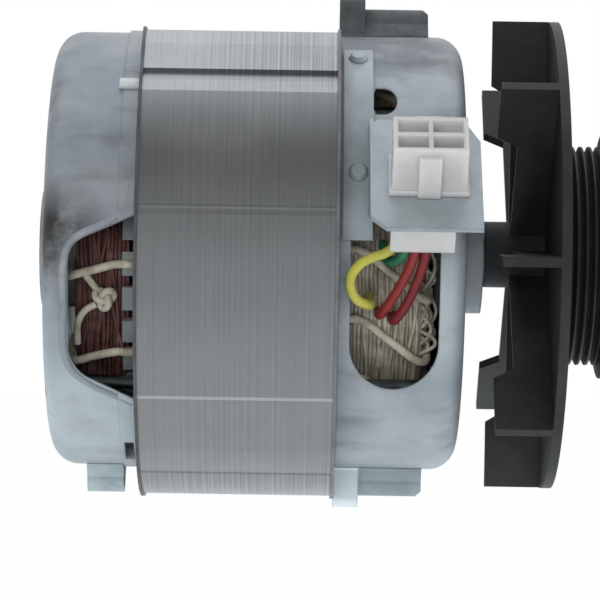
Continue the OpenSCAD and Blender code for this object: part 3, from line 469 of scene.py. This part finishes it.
def castAluminium(name, spec):  # die-cast alloy, dull and cool, clouded by handling, with a fine cast grain, and listed patches that are partly painted light and painted shade
    material, tree, shader, place = startMaterial(name, {"Metallic": spec["metallic"]})
    cloud, tint = markedColour(tree, place, spec)
    stretch = addNode(tree, "ShaderNodeMapping", {"Vector": place, "Scale": spec["streakScale"]})
    streak = addNode(tree, "ShaderNodeTexNoise", {
        "Vector": stretch.outputs[0], "Scale": 1 / (spec["streakMm"] * mm), "Detail": 4.0, "Roughness": 0.55})
    soil = addNode(tree, "ShaderNodeMapRange", {
        "Value": streak.outputs[0], "From Min": spec["streakFrom"], "From Max": spec["streakFull"],
        "To Max": spec["streakMost"]})
    colour = addNode(tree, "ShaderNodeMix", {
        0: soil.outputs[0], 6: tint, 7: toLinear(spec["stain"])}, data_type="RGBA")
    patchy = addNode(tree, "ShaderNodeMapRange", {
        "Value": cloud, "From Min": spec["patchFrom"], "From Max": spec["patchFull"]})
    # patches laid on by distance from a point and broken up by the mottling; some are painted light and
    # painted shade
    for middle, (near, far), tone, strong in spec["patchesAndPaintedLight"]:
        away = addNode(tree, "ShaderNodeVectorMath", {
            0: place, 1: [value * mm for value in middle]}, operation="DISTANCE")
        close = addNode(tree, "ShaderNodeMapRange", {
            "Value": away.outputs["Value"], "From Min": far * mm, "From Max": near * mm, "To Max": strong})
        patchShare = addNode(tree, "ShaderNodeMath", {
            0: close.outputs[0], 1: patchy.outputs[0]}, operation="MULTIPLY")
        colour = addNode(tree, "ShaderNodeMix", {
            0: patchShare.outputs[0], 6: colour.outputs[2], 7: toLinear(tone)}, data_type="RGBA")
    rough = addNode(tree, "ShaderNodeMapRange", {
        "Value": streak.outputs[0], "To Min": spec["rough"][0], "To Max": spec["rough"][1]})
    grain = addNode(tree, "ShaderNodeTexNoise", {
        "Vector": place, "Scale": 1 / (spec["grainMm"] * mm), "Detail": 3.0})
    edges = addNode(tree, "ShaderNodeBevel", {"Radius": spec["edgeMm"] * mm}, samples=4)  # rounds the shading
    bump = addNode(tree, "ShaderNodeBump", {
        "Height": grain.outputs[0], "Strength": spec["grainBump"], "Distance": spec["grainDeepMm"] * mm,
        "Normal": edges.outputs[0]})
    feedShader(tree, shader, {
        "Base Color": colour.outputs[2], "Roughness": rough.outputs[0], "Normal": bump.outputs[0]})
    return material


# What all plain metals share. smoother and rougher are how far the roughness swings
metalFinish = {
    "markFrom": 0.4,
    "markFull": 0.72,
    "detail": 5.0,
    "ragged": 0.65,
    "smoother": 0.1,
    "rougher": 0.12,
    "edgeMm": 0.5,
    "metallic": 1.0,
}
metals = {
    # stamped sheet: satin grey with dull blotches
    "blankedSteel": {"base": "#8E9092", "mark": "#75777A", "markMm": 9, "rough": 0.5, "metallic": 0.5,
                     "nodes": ["front_end_plate"]},
    # the same stamped sheet, darker: painted shade for the gap between the rear bell's rim and the stack
    "shadedBlankedSteel": {"base": "#686A6E", "mark": "#55575B", "markMm": 9, "rough": 0.5, "metallic": 0.5,
                   "nodes": ["rear_end_plate"]},
    # dark grey casting, nearly matt
    "darkLugIron": {"base": "#666A6C", "mark": "#4A4C4D", "markMm": 6, "rough": 0.6, "metallic": 0.3,
                      "nodes": ["upper_mount_lug"]},
    # plated pressing: pale and cool, with a soft shine
    "palePressedSteel": {"base": "#ACB7BC", "mark": "#909BA1", "markMm": 7, "rough": 0.45, "metallic": 0.4,
                         "nodes": ["rear_mount_lug"]},
    # zinc-coated sheet: pale blue grey with cloudy spots
    "zincSheet": {"base": "#A8B0B5", "mark": "#979FA5", "markMm": 8, "rough": 0.42, "metallic": 0.4,
                  "nodes": ["connector_bracket", "bracket_rivets"]},
    # brass under thin tin: pale yellow with browner spots
    "tinnedBrass": {"base": "#C9B788", "mark": "#A28F5C", "markMm": 4, "rough": 0.35,
                    "nodes": ["connector_terminals"]},
    # plated bolts: mid grey and half dull
    "zincBolt": {"base": "#8F9396", "mark": "#6B6E70", "markMm": 3, "rough": 0.4,
                 "nodes": ["clamp_bolts"]},
    # ground and polished: bright, with faint marks
    "bearingSteel": {"base": "#B9BCBF", "mark": "#9A9DA0", "markMm": 3, "rough": 0.22,
                     "nodes": ["rear_bearing_outer_race", "front_bearing_outer_race",
                               "rear_bearing_inner_race", "front_bearing_inner_race",
                               "rear_bearing_balls", "front_bearing_balls"]},
    # thin rolled brass: warm and satin
    "pressedBrass": {"base": "#B08D57", "mark": "#8A6B3E", "markMm": 3, "rough": 0.35,
                     "nodes": ["rear_ball_cage", "front_ball_cage"]},
    # hardened strip: grey and satin
    "springSteel": {"base": "#8E9194", "mark": "#6A6D70", "markMm": 3, "rough": 0.35,
                    "nodes": ["wave_washer"]},
    # turned plates: dark grey and dull
    "rotorSteel": {"base": "#77797B", "mark": "#55575A", "markMm": 2, "rough": 0.5,
                   "nodes": ["rotor_core"]},
    # cast bars and rings: light grey and dull
    "rotorAlloy": {"base": "#A5A8AA", "mark": "#85888A", "markMm": 5, "rough": 0.5,
                   "nodes": ["rotor_cage"]},
    # turned bar: bright, with small marks
    "turnedSteel": {"base": "#A9ADB0", "mark": "#888C8F", "markMm": 2.5, "rough": 0.3,
                    "nodes": ["rotor_shaft", "fan_spacer", "pulley_washer", "pulley_nut"]},
}


def plainMetal(name, finish):  # turned or pressed metal with faint marks
    spec = dict(metalFinish, **finish)
    material, tree, shader, place = startMaterial(name, {"Metallic": spec["metallic"]})
    marks, colour = markedColour(tree, place, spec)
    shine = addNode(tree, "ShaderNodeMapRange", {
        "Value": marks,
        "To Min": spec["rough"] - spec["smoother"], "To Max": spec["rough"] + spec["rougher"]})
    edges = addNode(tree, "ShaderNodeBevel", {"Radius": spec["edgeMm"] * mm}, samples=4)
    feedShader(tree, shader, {
        "Base Color": colour, "Roughness": shine.outputs[0], "Normal": edges.outputs[0]})
    return material


# pale is painted light on the flat tab, on the lug's end past tabTo along the shaft
lugFinish = dict(metalFinish, base="#959EA3", mark="#808A90", markMm=7, metallic=0.4, rough=0.45,
                 pale="#DDE7EB", tabTo=-17.2, tabBlend=0.4)


def zincLug(spec):  # zinc-plated casting, dull on the lug, with painted light on the flat tab at its root
    material, tree, shader, place = startMaterial("zincPlatedLugAndPaintedLight", {
        "Metallic": spec["metallic"], "Roughness": spec["rough"]})
    dull = markedColour(tree, place, spec)[1]
    split = addNode(tree, "ShaderNodeSeparateXYZ", {"Vector": place})
    tabPaintedLight = addNode(tree, "ShaderNodeMapRange", {
        "Value": split.outputs["X"], "From Min": (spec["tabTo"] + spec["tabBlend"]) * mm,
        "From Max": (spec["tabTo"] - spec["tabBlend"]) * mm})
    colour = addNode(tree, "ShaderNodeMix", {
        0: tabPaintedLight.outputs[0], 6: dull, 7: toLinear(spec["pale"])}, data_type="RGBA")
    edges = addNode(tree, "ShaderNodeBevel", {"Radius": spec["edgeMm"] * mm}, samples=4)
    feedShader(tree, shader, {"Base Color": colour.outputs[2], "Normal": edges.outputs[0]})
    return material


# What all plastics share: a film of dust for marks, and a moulded grain, drawn coarser than it is to show.
# glow is the share of light let in
plasticFinish = {
    "markMm": 14,
    "markFrom": 0.42,
    "markFull": 0.78,
    "detail": 6.0,
    "ragged": 0.7,
    "ior": 1.53,
    "smoother": 0.08,
    "rougher": 0.12,
    "grainBump": 0.1,
    "grainDeepMm": 0.08,
    "edgeMm": 0.4,
    "glow": 0,
}
plastics = {
    # uncoloured nylon: milky white, so light goes some way in
    "whiteNylon": {"base": "#D2CFCE", "mark": "#C4C2C2", "grainMm": 0.9, "rough": 0.42, "glow": 0.9,
                   "glowMm": 6.0, "nodes": ["connector_housing"]},
    # filled nylon: near black, dusty and half matt
    "blackNylon": {"base": "#272727", "mark": "#38383A", "grainMm": 0.7, "rough": 0.55,
                   "nodes": ["cooling_fan", "belt_pulley", "pulley_flange"]},
    # stiff insulating sheet: grey and matt
    "greyPolyester": {"base": "#7C8181", "mark": "#676B6B", "grainMm": 1.2, "rough": 0.6,
                      "nodes": ["rear_insulator", "front_insulator"]},
    # pressed fibre: cream and matt
    "fibreStrip": {"base": "#C9BFA6", "mark": "#A89C80", "grainMm": 1.0, "rough": 0.7,
                   "nodes": ["slot_wedges"]},
}


def mouldedPlastic(name, finish):  # injection-moulded plastic with a fine grain
    spec = dict(plasticFinish, **finish)
    material, tree, shader, place = startMaterial(name, {"IOR": spec["ior"]})
    dust, colour = markedColour(tree, place, spec)
    grain = addNode(tree, "ShaderNodeTexNoise", {
        "Vector": place, "Scale": 1 / (spec["grainMm"] * mm), "Detail": 3.0})
    shine = addNode(tree, "ShaderNodeMapRange", {
        "Value": dust,
        "To Min": spec["rough"] - spec["smoother"], "To Max": spec["rough"] + spec["rougher"]})
    edges = addNode(tree, "ShaderNodeBevel", {"Radius": spec["edgeMm"] * mm}, samples=4)
    bump = addNode(tree, "ShaderNodeBump", {
        "Height": grain.outputs[0], "Strength": spec["grainBump"], "Distance": spec["grainDeepMm"] * mm,
        "Normal": edges.outputs[0]})
    if spec["glow"]:
        shader.inputs["Subsurface Weight"].default_value = spec["glow"]
        shader.inputs["Subsurface Radius"].default_value = [spec["glowMm"] * mm] * 3
        shader.inputs["Subsurface Scale"].default_value = 1.0
    feedShader(tree, shader, {
        "Base Color": colour, "Roughness": shine.outputs[0], "Normal": bump.outputs[0]})
    return material


def dressFrame():
    dress(laminatedSteel(stackFinish), "stator_stack")
    dress(castAluminium("castAluminium", bellFinish), "rear_end_bell")
    dress(castAluminium("frontCastAluminiumAndPaintedLight", frontBellFinishAndPaintedLight), "front_end_bell")
    dress(zincLug(lugFinish), "lower_mount_lug")
    for name, finish in metals.items():
        dress(plainMetal(name, finish), *finish["nodes"])
    for name, finish in plastics.items():
        dress(mouldedPlastic(name, finish), *finish["nodes"])


dressFrame()
print("frame dressed")


def smoothCord(name, points, size, rings=6, loop=False):  # a round cord through its points, ends closed
    line = bpy.data.curves.new(name, "CURVE")
    line.dimensions = "3D"
    line.resolution_u = rings
    line.bevel_depth = size / 2 * mm
    line.bevel_resolution = 3
    line.use_fill_caps = True
    spline = line.splines.new("BEZIER")
    spline.use_cyclic_u = loop
    spline.bezier_points.add(len(points) - 1)
    for bend, point in zip(spline.bezier_points, points):
        bend.co = [value * mm for value in point]
        bend.handle_left_type = bend.handle_right_type = "AUTO"
    cord = bpy.data.objects.new(name, line)
    bpy.context.scene.collection.objects.link(cord)
    selectOnly(cord)
    bpy.ops.object.convert(target="MESH")
    cord = bpy.context.object
    closeAndTurnOut(cord)
    shadeSmooth(cord)
    return cord


# Enamelled copper under varnish. The marks are where it soaked in, and the smears where it stayed on top
wireFinish = {
    "metallic": 0.25,
    "ior": 1.5,
    "markMm": 4,
    "markFrom": 0.38,
    "markFull": 0.66,
    "detail": 5.0,
    "ragged": 0.7,
    "smearMm": 9,
    "smearFrom": 0.55,
    "smearFull": 0.75,
    "smearMost": 0.6,
    "rough": (0.25, 0.6),
}


def enamelledWire(name, **colours):  # varnished copper strands: blotched, and glossy in places
    spec = dict(wireFinish, **colours)
    material, tree, shader, place = startMaterial(name, {"Metallic": spec["metallic"], "IOR": spec["ior"]})
    pool, body = markedColour(tree, place, spec)
    smear = addNode(tree, "ShaderNodeTexNoise", {
        "Vector": place, "Scale": 1 / (spec["smearMm"] * mm), "Detail": 4.0})
    over = addNode(tree, "ShaderNodeMapRange", {
        "Value": smear.outputs[0], "From Min": spec["smearFrom"], "From Max": spec["smearFull"],
        "To Max": spec["smearMost"]})
    colour = addNode(tree, "ShaderNodeMix", {
        0: over.outputs[0], 6: body, 7: toLinear(spec["smear"])}, data_type="RGBA")
    shine = addNode(tree, "ShaderNodeMapRange", {
        "Value": pool, "To Min": spec["rough"][0], "To Max": spec["rough"][1]})
    feedShader(tree, shader, {"Base Color": colour.outputs[2], "Roughness": shine.outputs[0]})
    return material


# End windings: a core, an outer layer wound in one strand, strand rings on the end face, and stray strands
winding = {
    "strand": 1.0,
    "strandSides": 8,
    "steps": 144,
    "layerR": 45.3,
    "layerFrom": 3.9,  # distances along the winding are from the stack's face
    "layerPitch": 1.03,
    "coreR": (36.7, 44.95),
    "coreFrom": 3.2,
    "coreShort": 0.7,
    "coreSteps": 96,
    "coreWeld": 0.01,
    # radius, and how far below the winding's end
    "faceRings": [(44.75, 1.0), (43.9, 0.5), (42.9, 0.45), (41.9, 0.45), (40.9, 0.45), (39.9, 0.45),
                  (38.9, 0.45), (37.9, 0.5), (37.2, 1.1)],
    "wobble": 0.9,
    "wobbleMm": 9,
    # closed strands round the outside, which swing along the winding in waves and ripples. clear is how far a
    # strand's middle keeps from the winding's ends, and inside how far all of it does
    "stray": {"count": 12, "lift": 0.7, "clear": 2.5, "inside": 0.6, "swing": (0.8, 2.2), "waves": 2,
              "ripple": 0.4, "ripples": 7, "bob": 0.2, "bobs": 5, "knots": 40, "rings": 3},
    # strands that bow out of the end face in the near window, in degrees round the shaft
    "loose": {"angles": (-40, -14), "span": (10, 24), "bow": (0.8, 3.8), "radii": (39.5, 45.2), "sway": 0.4,
              "rooted": 2.2, "knots": 7},
    "rear": {"face": -75.2, "away": -1, "end": 17.2, "turns": 11, "loose": 0},
    "front": {"face": -24.8, "away": 1, "end": 23.2, "turns": 17, "loose": 22},
}


def strayStrand(name, number, spec, end):  # one strand of the random-wound outside
    dice = random.Random(name + str(number))
    stray = spec["stray"]
    middle = dice.uniform(spec["layerFrom"] + stray["clear"], end["end"] - stray["clear"])
    swing = dice.uniform(*stray["swing"])
    phase = dice.uniform(0, math.tau)
    ripple = dice.uniform(0, math.tau)
    points = []
    for i in range(stray["knots"]):
        turn = math.tau * i / stray["knots"]
        wave = swing * math.sin(stray["waves"] * turn + phase)
        x = middle + wave + stray["ripple"] * swing * math.sin(stray["ripples"] * turn + ripple)
        x = min(max(x, spec["layerFrom"] + stray["inside"]), end["end"] - stray["inside"])
        radius = spec["layerR"] + stray["lift"] + stray["bob"] * math.sin(stray["bobs"] * turn + phase)
        points.append((end["face"] + end["away"] * x, radius * math.cos(turn), radius * math.sin(turn)))
    return smoothCord(name + "Stray%d" % number, points, spec["strand"], stray["rings"], True)


def looseStrand(name, number, spec, end):
    dice = random.Random(name + "Loose" + str(number))
    loose = spec["loose"]
    start = dice.uniform(*loose["angles"])
    span = dice.uniform(*loose["span"])
    bow = dice.uniform(*loose["bow"])
    middle = dice.uniform(*loose["radii"])
    points = []
    for i in range(loose["knots"]):
        share = i / (loose["knots"] - 1)
        angle = math.radians(start + span * share)
        x = end["end"] - loose["rooted"] + (loose["rooted"] + bow) * math.sin(math.pi * share)
        radius = middle + loose["sway"] * dice.uniform(-1, 1)
        points.append((end["face"] + end["away"] * x, -radius * math.cos(angle), radius * math.sin(angle)))
    return smoothCord(name + "Loose%d" % number, points, spec["strand"])


def woundLayer(spec, end):
    place = ((end["face"] + end["away"] * spec["layerFrom"]) * mm, spec["layerR"] * mm, 0)
    layer = newPrimitive(bpy.ops.mesh.primitive_circle_add, vertices=spec["strandSides"],
                         radius=spec["strand"] / 2 * mm, location=place)
    settle(layer)
    applyModifier(layer, "SCREW", axis="X", angle=math.tau, iterations=end["turns"],
                  screw_offset=end["away"] * spec["layerPitch"] * mm, steps=spec["steps"],
                  render_steps=spec["steps"])
    closeAndTurnOut(layer)
    return layer


def faceRing(spec, end, radius, below):
    ring = newPrimitive(bpy.ops.mesh.primitive_torus_add, major_radius=radius * mm,
                        minor_radius=spec["strand"] / 2 * mm, major_segments=spec["steps"],
                        minor_segments=spec["strandSides"], rotation=(0, math.radians(90), 0),
                        location=((end["face"] + end["away"] * (end["end"] - below)) * mm, 0, 0))
    settle(ring)
    return ring


def windingCore(spec, end):
    low, high = spec["coreR"]
    start, stop = spec["coreFrom"], end["end"] - spec["coreShort"]
    core = newPrimitive(bpy.ops.mesh.primitive_plane_add, size=1)
    core.location = ((end["face"] + end["away"] * (start + stop) / 2) * mm, (low + high) / 2 * mm, 0)
    core.scale = ((stop - start) * mm, (high - low) * mm, 1)
    settle(core)
    applyModifier(core, "SCREW", axis="X", angle=math.tau, steps=spec["coreSteps"],
                  render_steps=spec["coreSteps"], use_merge_vertices=True,
                  merge_threshold=spec["coreWeld"] * mm)
    closeAndTurnOut(core)
    return core


def endWinding(name, spec, end):
    strands = [woundLayer(spec, end)]
    strands += [faceRing(spec, end, radius, below) for radius, below in spec["faceRings"]]
    core = windingCore(spec, end)
    strands += [strayStrand(name, number, spec, end) for number in range(spec["stray"]["count"])]
    strands += [looseStrand(name, number, spec, end) for number in range(end["loose"])]
    bundle = joinPieces(strands + [core], name)
    drift = bpy.data.textures.new(name + "Drift", "CLOUDS")
    drift.noise_scale = spec["wobbleMm"] * mm
    applyModifier(bundle, "DISPLACE", texture=drift, texture_coords="LOCAL", direction="X",
                  strength=spec["wobble"] * mm, mid_level=0.5)
    shadeSmooth(bundle)
    return bundle


# Copper in the slots: a bundle of straight strands, copied round the bore
slotCopper = {
    "slots": 32,
    "from": -78.4,
    "to": -21.6,
    "strand": 0.95,
    "strandSides": 6,
    "rows": 7,
    "columns": 3,
    "innerR": 37.1,
    "step": 1.05,
}


def slotBundles(spec):
    strands = []
    middle = (spec["columns"] - 1) / 2
    for row in range(spec["rows"]):
        for column in range(spec["columns"]):
            place = ((spec["from"] + spec["to"]) / 2 * mm, (spec["innerR"] + row * spec["step"]) * mm,
                     (column - middle) * spec["step"] * mm)
            strand = newPrimitive(bpy.ops.mesh.primitive_cylinder_add, vertices=spec["strandSides"],
                                  radius=spec["strand"] / 2 * mm, depth=(spec["to"] - spec["from"]) * mm,
                                  rotation=(0, math.radians(90), 0), location=place)
            settle(strand)
            strands.append(strand)
    bundle = joinPieces(strands, "slotBundle")
    copies = [bundle]
    turn = 360 / spec["slots"]
    for i in range(1, spec["slots"]):
        copy = bundle.copy()
        copy.data = bundle.data.copy()
        bpy.context.scene.collection.objects.link(copy)
        copy.rotation_euler = (math.radians(i * turn), 0, 0)
        settle(copy)
        copies.append(copy)
    ring = joinPieces(copies, "slotStrands")
    ring.rotation_euler = (math.radians(turn / 2), 0, 0)
    settle(ring)
    shadeSmooth(ring)
    return ring


rearWire = enamelledWire("redEnamelledCopper", base="#6E4844", mark="#46302E", smear="#94857A")
frontWire = enamelledWire("tanVarnishedCopper", base="#CBC3B2", mark="#9A907E", smear="#EAE5DA")
rearWinding = endWinding("rearWinding", winding, winding["rear"])
handOver(rearWinding, "stator", "red_winding", rearWire, "rear_winding_core", "rear_winding_wire")
frontWinding = endWinding("frontWinding", winding, winding["front"])
handOver(frontWinding, "stator", "tan_winding", frontWire, "front_winding_core", "front_winding_wire")
slotStrands = slotBundles(slotCopper)
handOver(slotStrands, "stator", "slot_copper", rearWire, "slot_conductors")
print("windings made")


twineFinish = {
    "base": "#C4BDAD",
    "mark": "#8F8672",
    "markMm": 6,
    "markFrom": 0.42,
    "markFull": 0.68,
    "detail": 5.0,
    "ragged": 0.7,
    "rough": 0.75,
    "fibreMm": 0.5,
    "fibreBump": 0.6,
    "fibreDeepMm": 0.2,
}


def varnishedTwine(spec):  # twisted cotton, stiff and blotched with varnish
    material, tree, shader, place = startMaterial("varnishedTwine", {"Roughness": spec["rough"]})
    colour = markedColour(tree, place, spec)[1]
    fibre = addNode(tree, "ShaderNodeTexNoise", {
        "Vector": place, "Scale": 1 / (spec["fibreMm"] * mm), "Detail": 3.0})
    bump = addNode(tree, "ShaderNodeBump", {
        "Height": fibre.outputs[0], "Strength": spec["fibreBump"], "Distance": spec["fibreDeepMm"] * mm})
    feedShader(tree, shader, {"Base Color": colour, "Normal": bump.outputs[0]})
    return material


# Lacing twine round each end winding, drawn through close to the stack. near and past are distances from the
# stack's face, over is past the winding's end, and the shares are of the step from one curl to the next
lacing = {
    "cord": 2.3,
    "near": 2.0,
    "past": 5.9,
    "over": 1.2,
    "corner": 0.9,
    "innerR": 35.3,
    "outerR": 47.04,
    "bowShare": 0.28,  # of the slant: how far the slanting run stands out at its middle
    "midShare": 0.51,  # of the slant: where that middle is
    "endShare": 0.04,
    "insideShare": 0.08,
    "backShare": 0.9,
    "rear": {"curls": 12, "shift": 5.9, "slant": 0.12},
    "front": {"curls": 16, "shift": 0, "slant": 0.7},
}


def lacedCord(name, spec, pattern, end):
    step = 360 / pattern["curls"]
    slant = pattern["slant"]
    near, past, far = spec["near"], spec["past"], end["end"] + spec["over"]
    innerR, outerR = spec["innerR"], spec["outerR"]
    bowR = outerR / math.cos(math.radians(step * slant * spec["bowShare"]))
    curl = [
        (near, innerR, 0),
        (near, outerR, 0),
        (past, outerR, 0),
        ((past + far) / 2, bowR, slant * spec["midShare"]),
        (far - spec["corner"], outerR, slant),
        (far, (outerR + innerR) / 2, slant + spec["endShare"]),
        (far - spec["corner"], innerR, slant + spec["insideShare"]),
        ((near + far) / 2, innerR, spec["backShare"]),
    ]
    points = []
    for i in range(pattern["curls"] - 1):
        for x, radius, share in curl:
            angle = math.radians((i + share) * step + pattern["shift"])
            points.append((end["face"] + end["away"] * x, radius * math.cos(angle), radius * math.sin(angle)))
    return smoothCord(name, points, spec["cord"])


twine = varnishedTwine(twineFinish)
rearLacing = lacedCord("rearLacing", lacing, lacing["rear"], winding["rear"])
handOver(rearLacing, "stator", "lacing", twine, "rear_lacing")
frontLacing = lacedCord("frontLacing", lacing, lacing["front"], winding["front"])
handOver(frontLacing, "stator", "lacing", twine, "front_lacing")

# Knot in the rear lacing, with its loose ends, in the near window. Places are x and z
knot = {
    "middle": (-84.4, -13.6),
    "onR": 47.9,
    "spread": 0.9,
    "lift": 0.9,
    "cord": 1.9,
    "bends": 24,
    "rings": 5,
    "tailDown": 0.6,
    "tails": [
        [(-86, -12), (-88, -9.4), (-90.2, -6.8)],
        [(-86.6, -15.2), (-89.4, -16.8), (-91.2, -19.6), (-91.6, -25.5)],
    ],
}


def onWinding(x, z, radius):  # a point over the near side of the winding
    return (x, -math.sqrt(radius * radius - z * z), z)


def tiedKnot(spec):  # a trefoil knot laid on the winding
    x, z = spec["middle"]
    turns = [math.tau * i / spec["bends"] for i in range(spec["bends"])]
    tied = [onWinding(x + spec["spread"] * (math.sin(t) + 2 * math.sin(2 * t)),
                      z + spec["spread"] * (math.cos(t) - 2 * math.cos(2 * t)),
                      spec["onR"] - spec["lift"] * math.sin(3 * t)) for t in turns]
    cords = [smoothCord("knotLoop", tied, spec["cord"], spec["rings"], True)]
    for number, tail in enumerate(spec["tails"]):
        points = [onWinding(tailX, tailZ, spec["onR"] - spec["tailDown"]) for tailX, tailZ in tail]
        cords.append(smoothCord("knotTail%d" % number, points, spec["cord"]))
    return joinPieces(cords, "lacingKnot")


handOver(tiedKnot(knot), "stator", "lacing", twine)
print("lacing made")


# Bent ends of the two cleat strips, folded down on the rear rim
cleatEnd = {
    "size": (5.7, 0.9, 3.8),
    "x": -78.8,
    "r": 59.9,
    "angle": 45,
    "edge": 0.35,
    # bare strip: bright and satin
    "finish": {"base": "#E3E7E8", "mark": "#C2C8CA", "markMm": 5, "rough": 0.4, "metallic": 0.4},
}


def bentCleat(name, spec, side):
    angle = math.radians(spec["angle"])
    place = (spec["x"] * mm, side * spec["r"] * math.cos(angle) * mm, spec["r"] * math.sin(angle) * mm)
    block = newPrimitive(bpy.ops.mesh.primitive_cube_add, size=1, location=place,
                         rotation=(side * angle, 0, 0))
    block.name = name
    block.scale = [value * mm for value in spec["size"]]
    settle(block)
    applyModifier(block, "BEVEL", width=spec["edge"] * mm, segments=3)
    closeAndTurnOut(block)
    shadeSmooth(block)
    return block


cleatSteel = plainMetal("brightSteelStrip", cleatEnd["finish"])
for cleatName, cleatSide in (("nearCleatEnd", -1), ("farCleatEnd", 1)):
    handOver(bentCleat(cleatName, cleatEnd, cleatSide), "stator", "end_plate", cleatSteel)
print("cleat ends made")


# Rolled lip round each rear window, turning up into the rim at its mouth. The route is in x and z
lip = {
    "size": 2.2,
    "rings": 8,
    "bellR": 58.6,
    "route": [(-78.2, 17), (-78.4, 12.5), (-79.6, 8.8), (-82.5, 6.3), (-86, 4.5), (-89.5, 2.9), (-92.9, -0.1),
              (-94.2, -4.5), (-94.2, -15), (-94.2, -26.3), (-92.6, -31.7), (-88.4, -35.4), (-82, -38.4),
              (-77, -40.7)],
}


def windowLip(name, spec, side):
    points = [(x, side * math.sqrt(spec["bellR"] ** 2 - z * z), z) for x, z in spec["route"]]
    return smoothCord(name, points, spec["size"], spec["rings"])


lipAlloy = castAluminium("rolledAluminium", dict(bellFinish, patchesAndPaintedLight=[]))
for lipName, lipSide in (("nearWindowLip", -1), ("farWindowLip", 1)):
    handOver(windowLip(lipName, lip, lipSide), "stator", "bell", lipAlloy)
print("window lips made")


# Leads from the connector's rear to the front winding, each with its sleeve's colours and its route
leads = {
    "size": 2.6,
    "rings": 8,
    "grainMm": 0.8,  # drawn coarse to show
    "rough": 0.35,
    "runs": {
        "redA": {
            "node": "red_lead_a", "slot": "red_lead", "sleeve": "redPvc", "base": "#8E2A2B",
            "mark": "#701F20",
            "route": [(-4.4, -61.88, 1.6), (-4.4, -61.19, 0.91), (-4.6, -60.2, -0.5), (-5.6, -57.6, -4),
                      (-7.6, -54.6, -8.4), (-9.8, -51.6, -12.4), (-11.8, -48.8, -15.4), (-13, -46.6, -16.8),
                      (-13.2, -43.2, -15.7)],
        },
        "redB": {
            "node": "red_lead_b", "slot": "red_lead", "sleeve": "deepRedPvc", "base": "#7C2224",
            "mark": "#611A1B",
            "route": [(-1.6, -61.88, 1.6), (-1.6, -61.19, 0.91), (-1.8, -60.2, -0.5), (-2.6, -57.6, -4.4),
                      (-4.2, -54.8, -9.4), (-6.2, -52, -13.8), (-8.2, -49.2, -17), (-9.4, -46.8, -18.3),
                      (-9.8, -42.8, -16.8)],
        },
        "yellow": {
            "node": "yellow_lead", "slot": "yellow_lead", "sleeve": "yellowPvc", "base": "#BDB84F",
            "mark": "#9A963F",
            "route": [(-10, -61.88, 1.6), (-10, -61.19, 0.91), (-12, -60.9, -0.9), (-15.5, -61.4, -2.2),
                      (-19, -62.3, -4.4), (-21, -62.6, -8), (-20, -61.2, -12), (-16.8, -57.2, -14.2),
                      (-15.6, -52.4, -14), (-15.8, -48.4, -13), (-16, -44.6, -11.9)],
        },
        "green": {
            "node": "green_lead", "slot": "green_lead", "sleeve": "greenPvc", "base": "#2F7A5A",
            "mark": "#25604A",
            "route": [(-7.2, -61.88, 1.6), (-7.2, -61.19, 0.91), (-7.4, -60.2, -0.5), (-8.6, -57.4, -2.4),
                      (-10.6, -54.4, -3), (-12, -51.4, -1.6), (-12.4, -48.6, 0.8), (-12.4, -46.3, 1.6)],
        },
    },
}


def makeLeads(spec):  # PVC sleeves: strong even colours with a soft gloss
    for key, run in spec["runs"].items():
        finish = {"base": run["base"], "mark": run["mark"], "grainMm": spec["grainMm"],
                  "rough": spec["rough"]}
        lead = smoothCord(key + "Lead", run["route"], spec["size"], spec["rings"])
        handOver(lead, "stator", run["slot"], mouldedPlastic(run["sleeve"], finish), run["node"])


makeLeads(leads)
print("leads made")
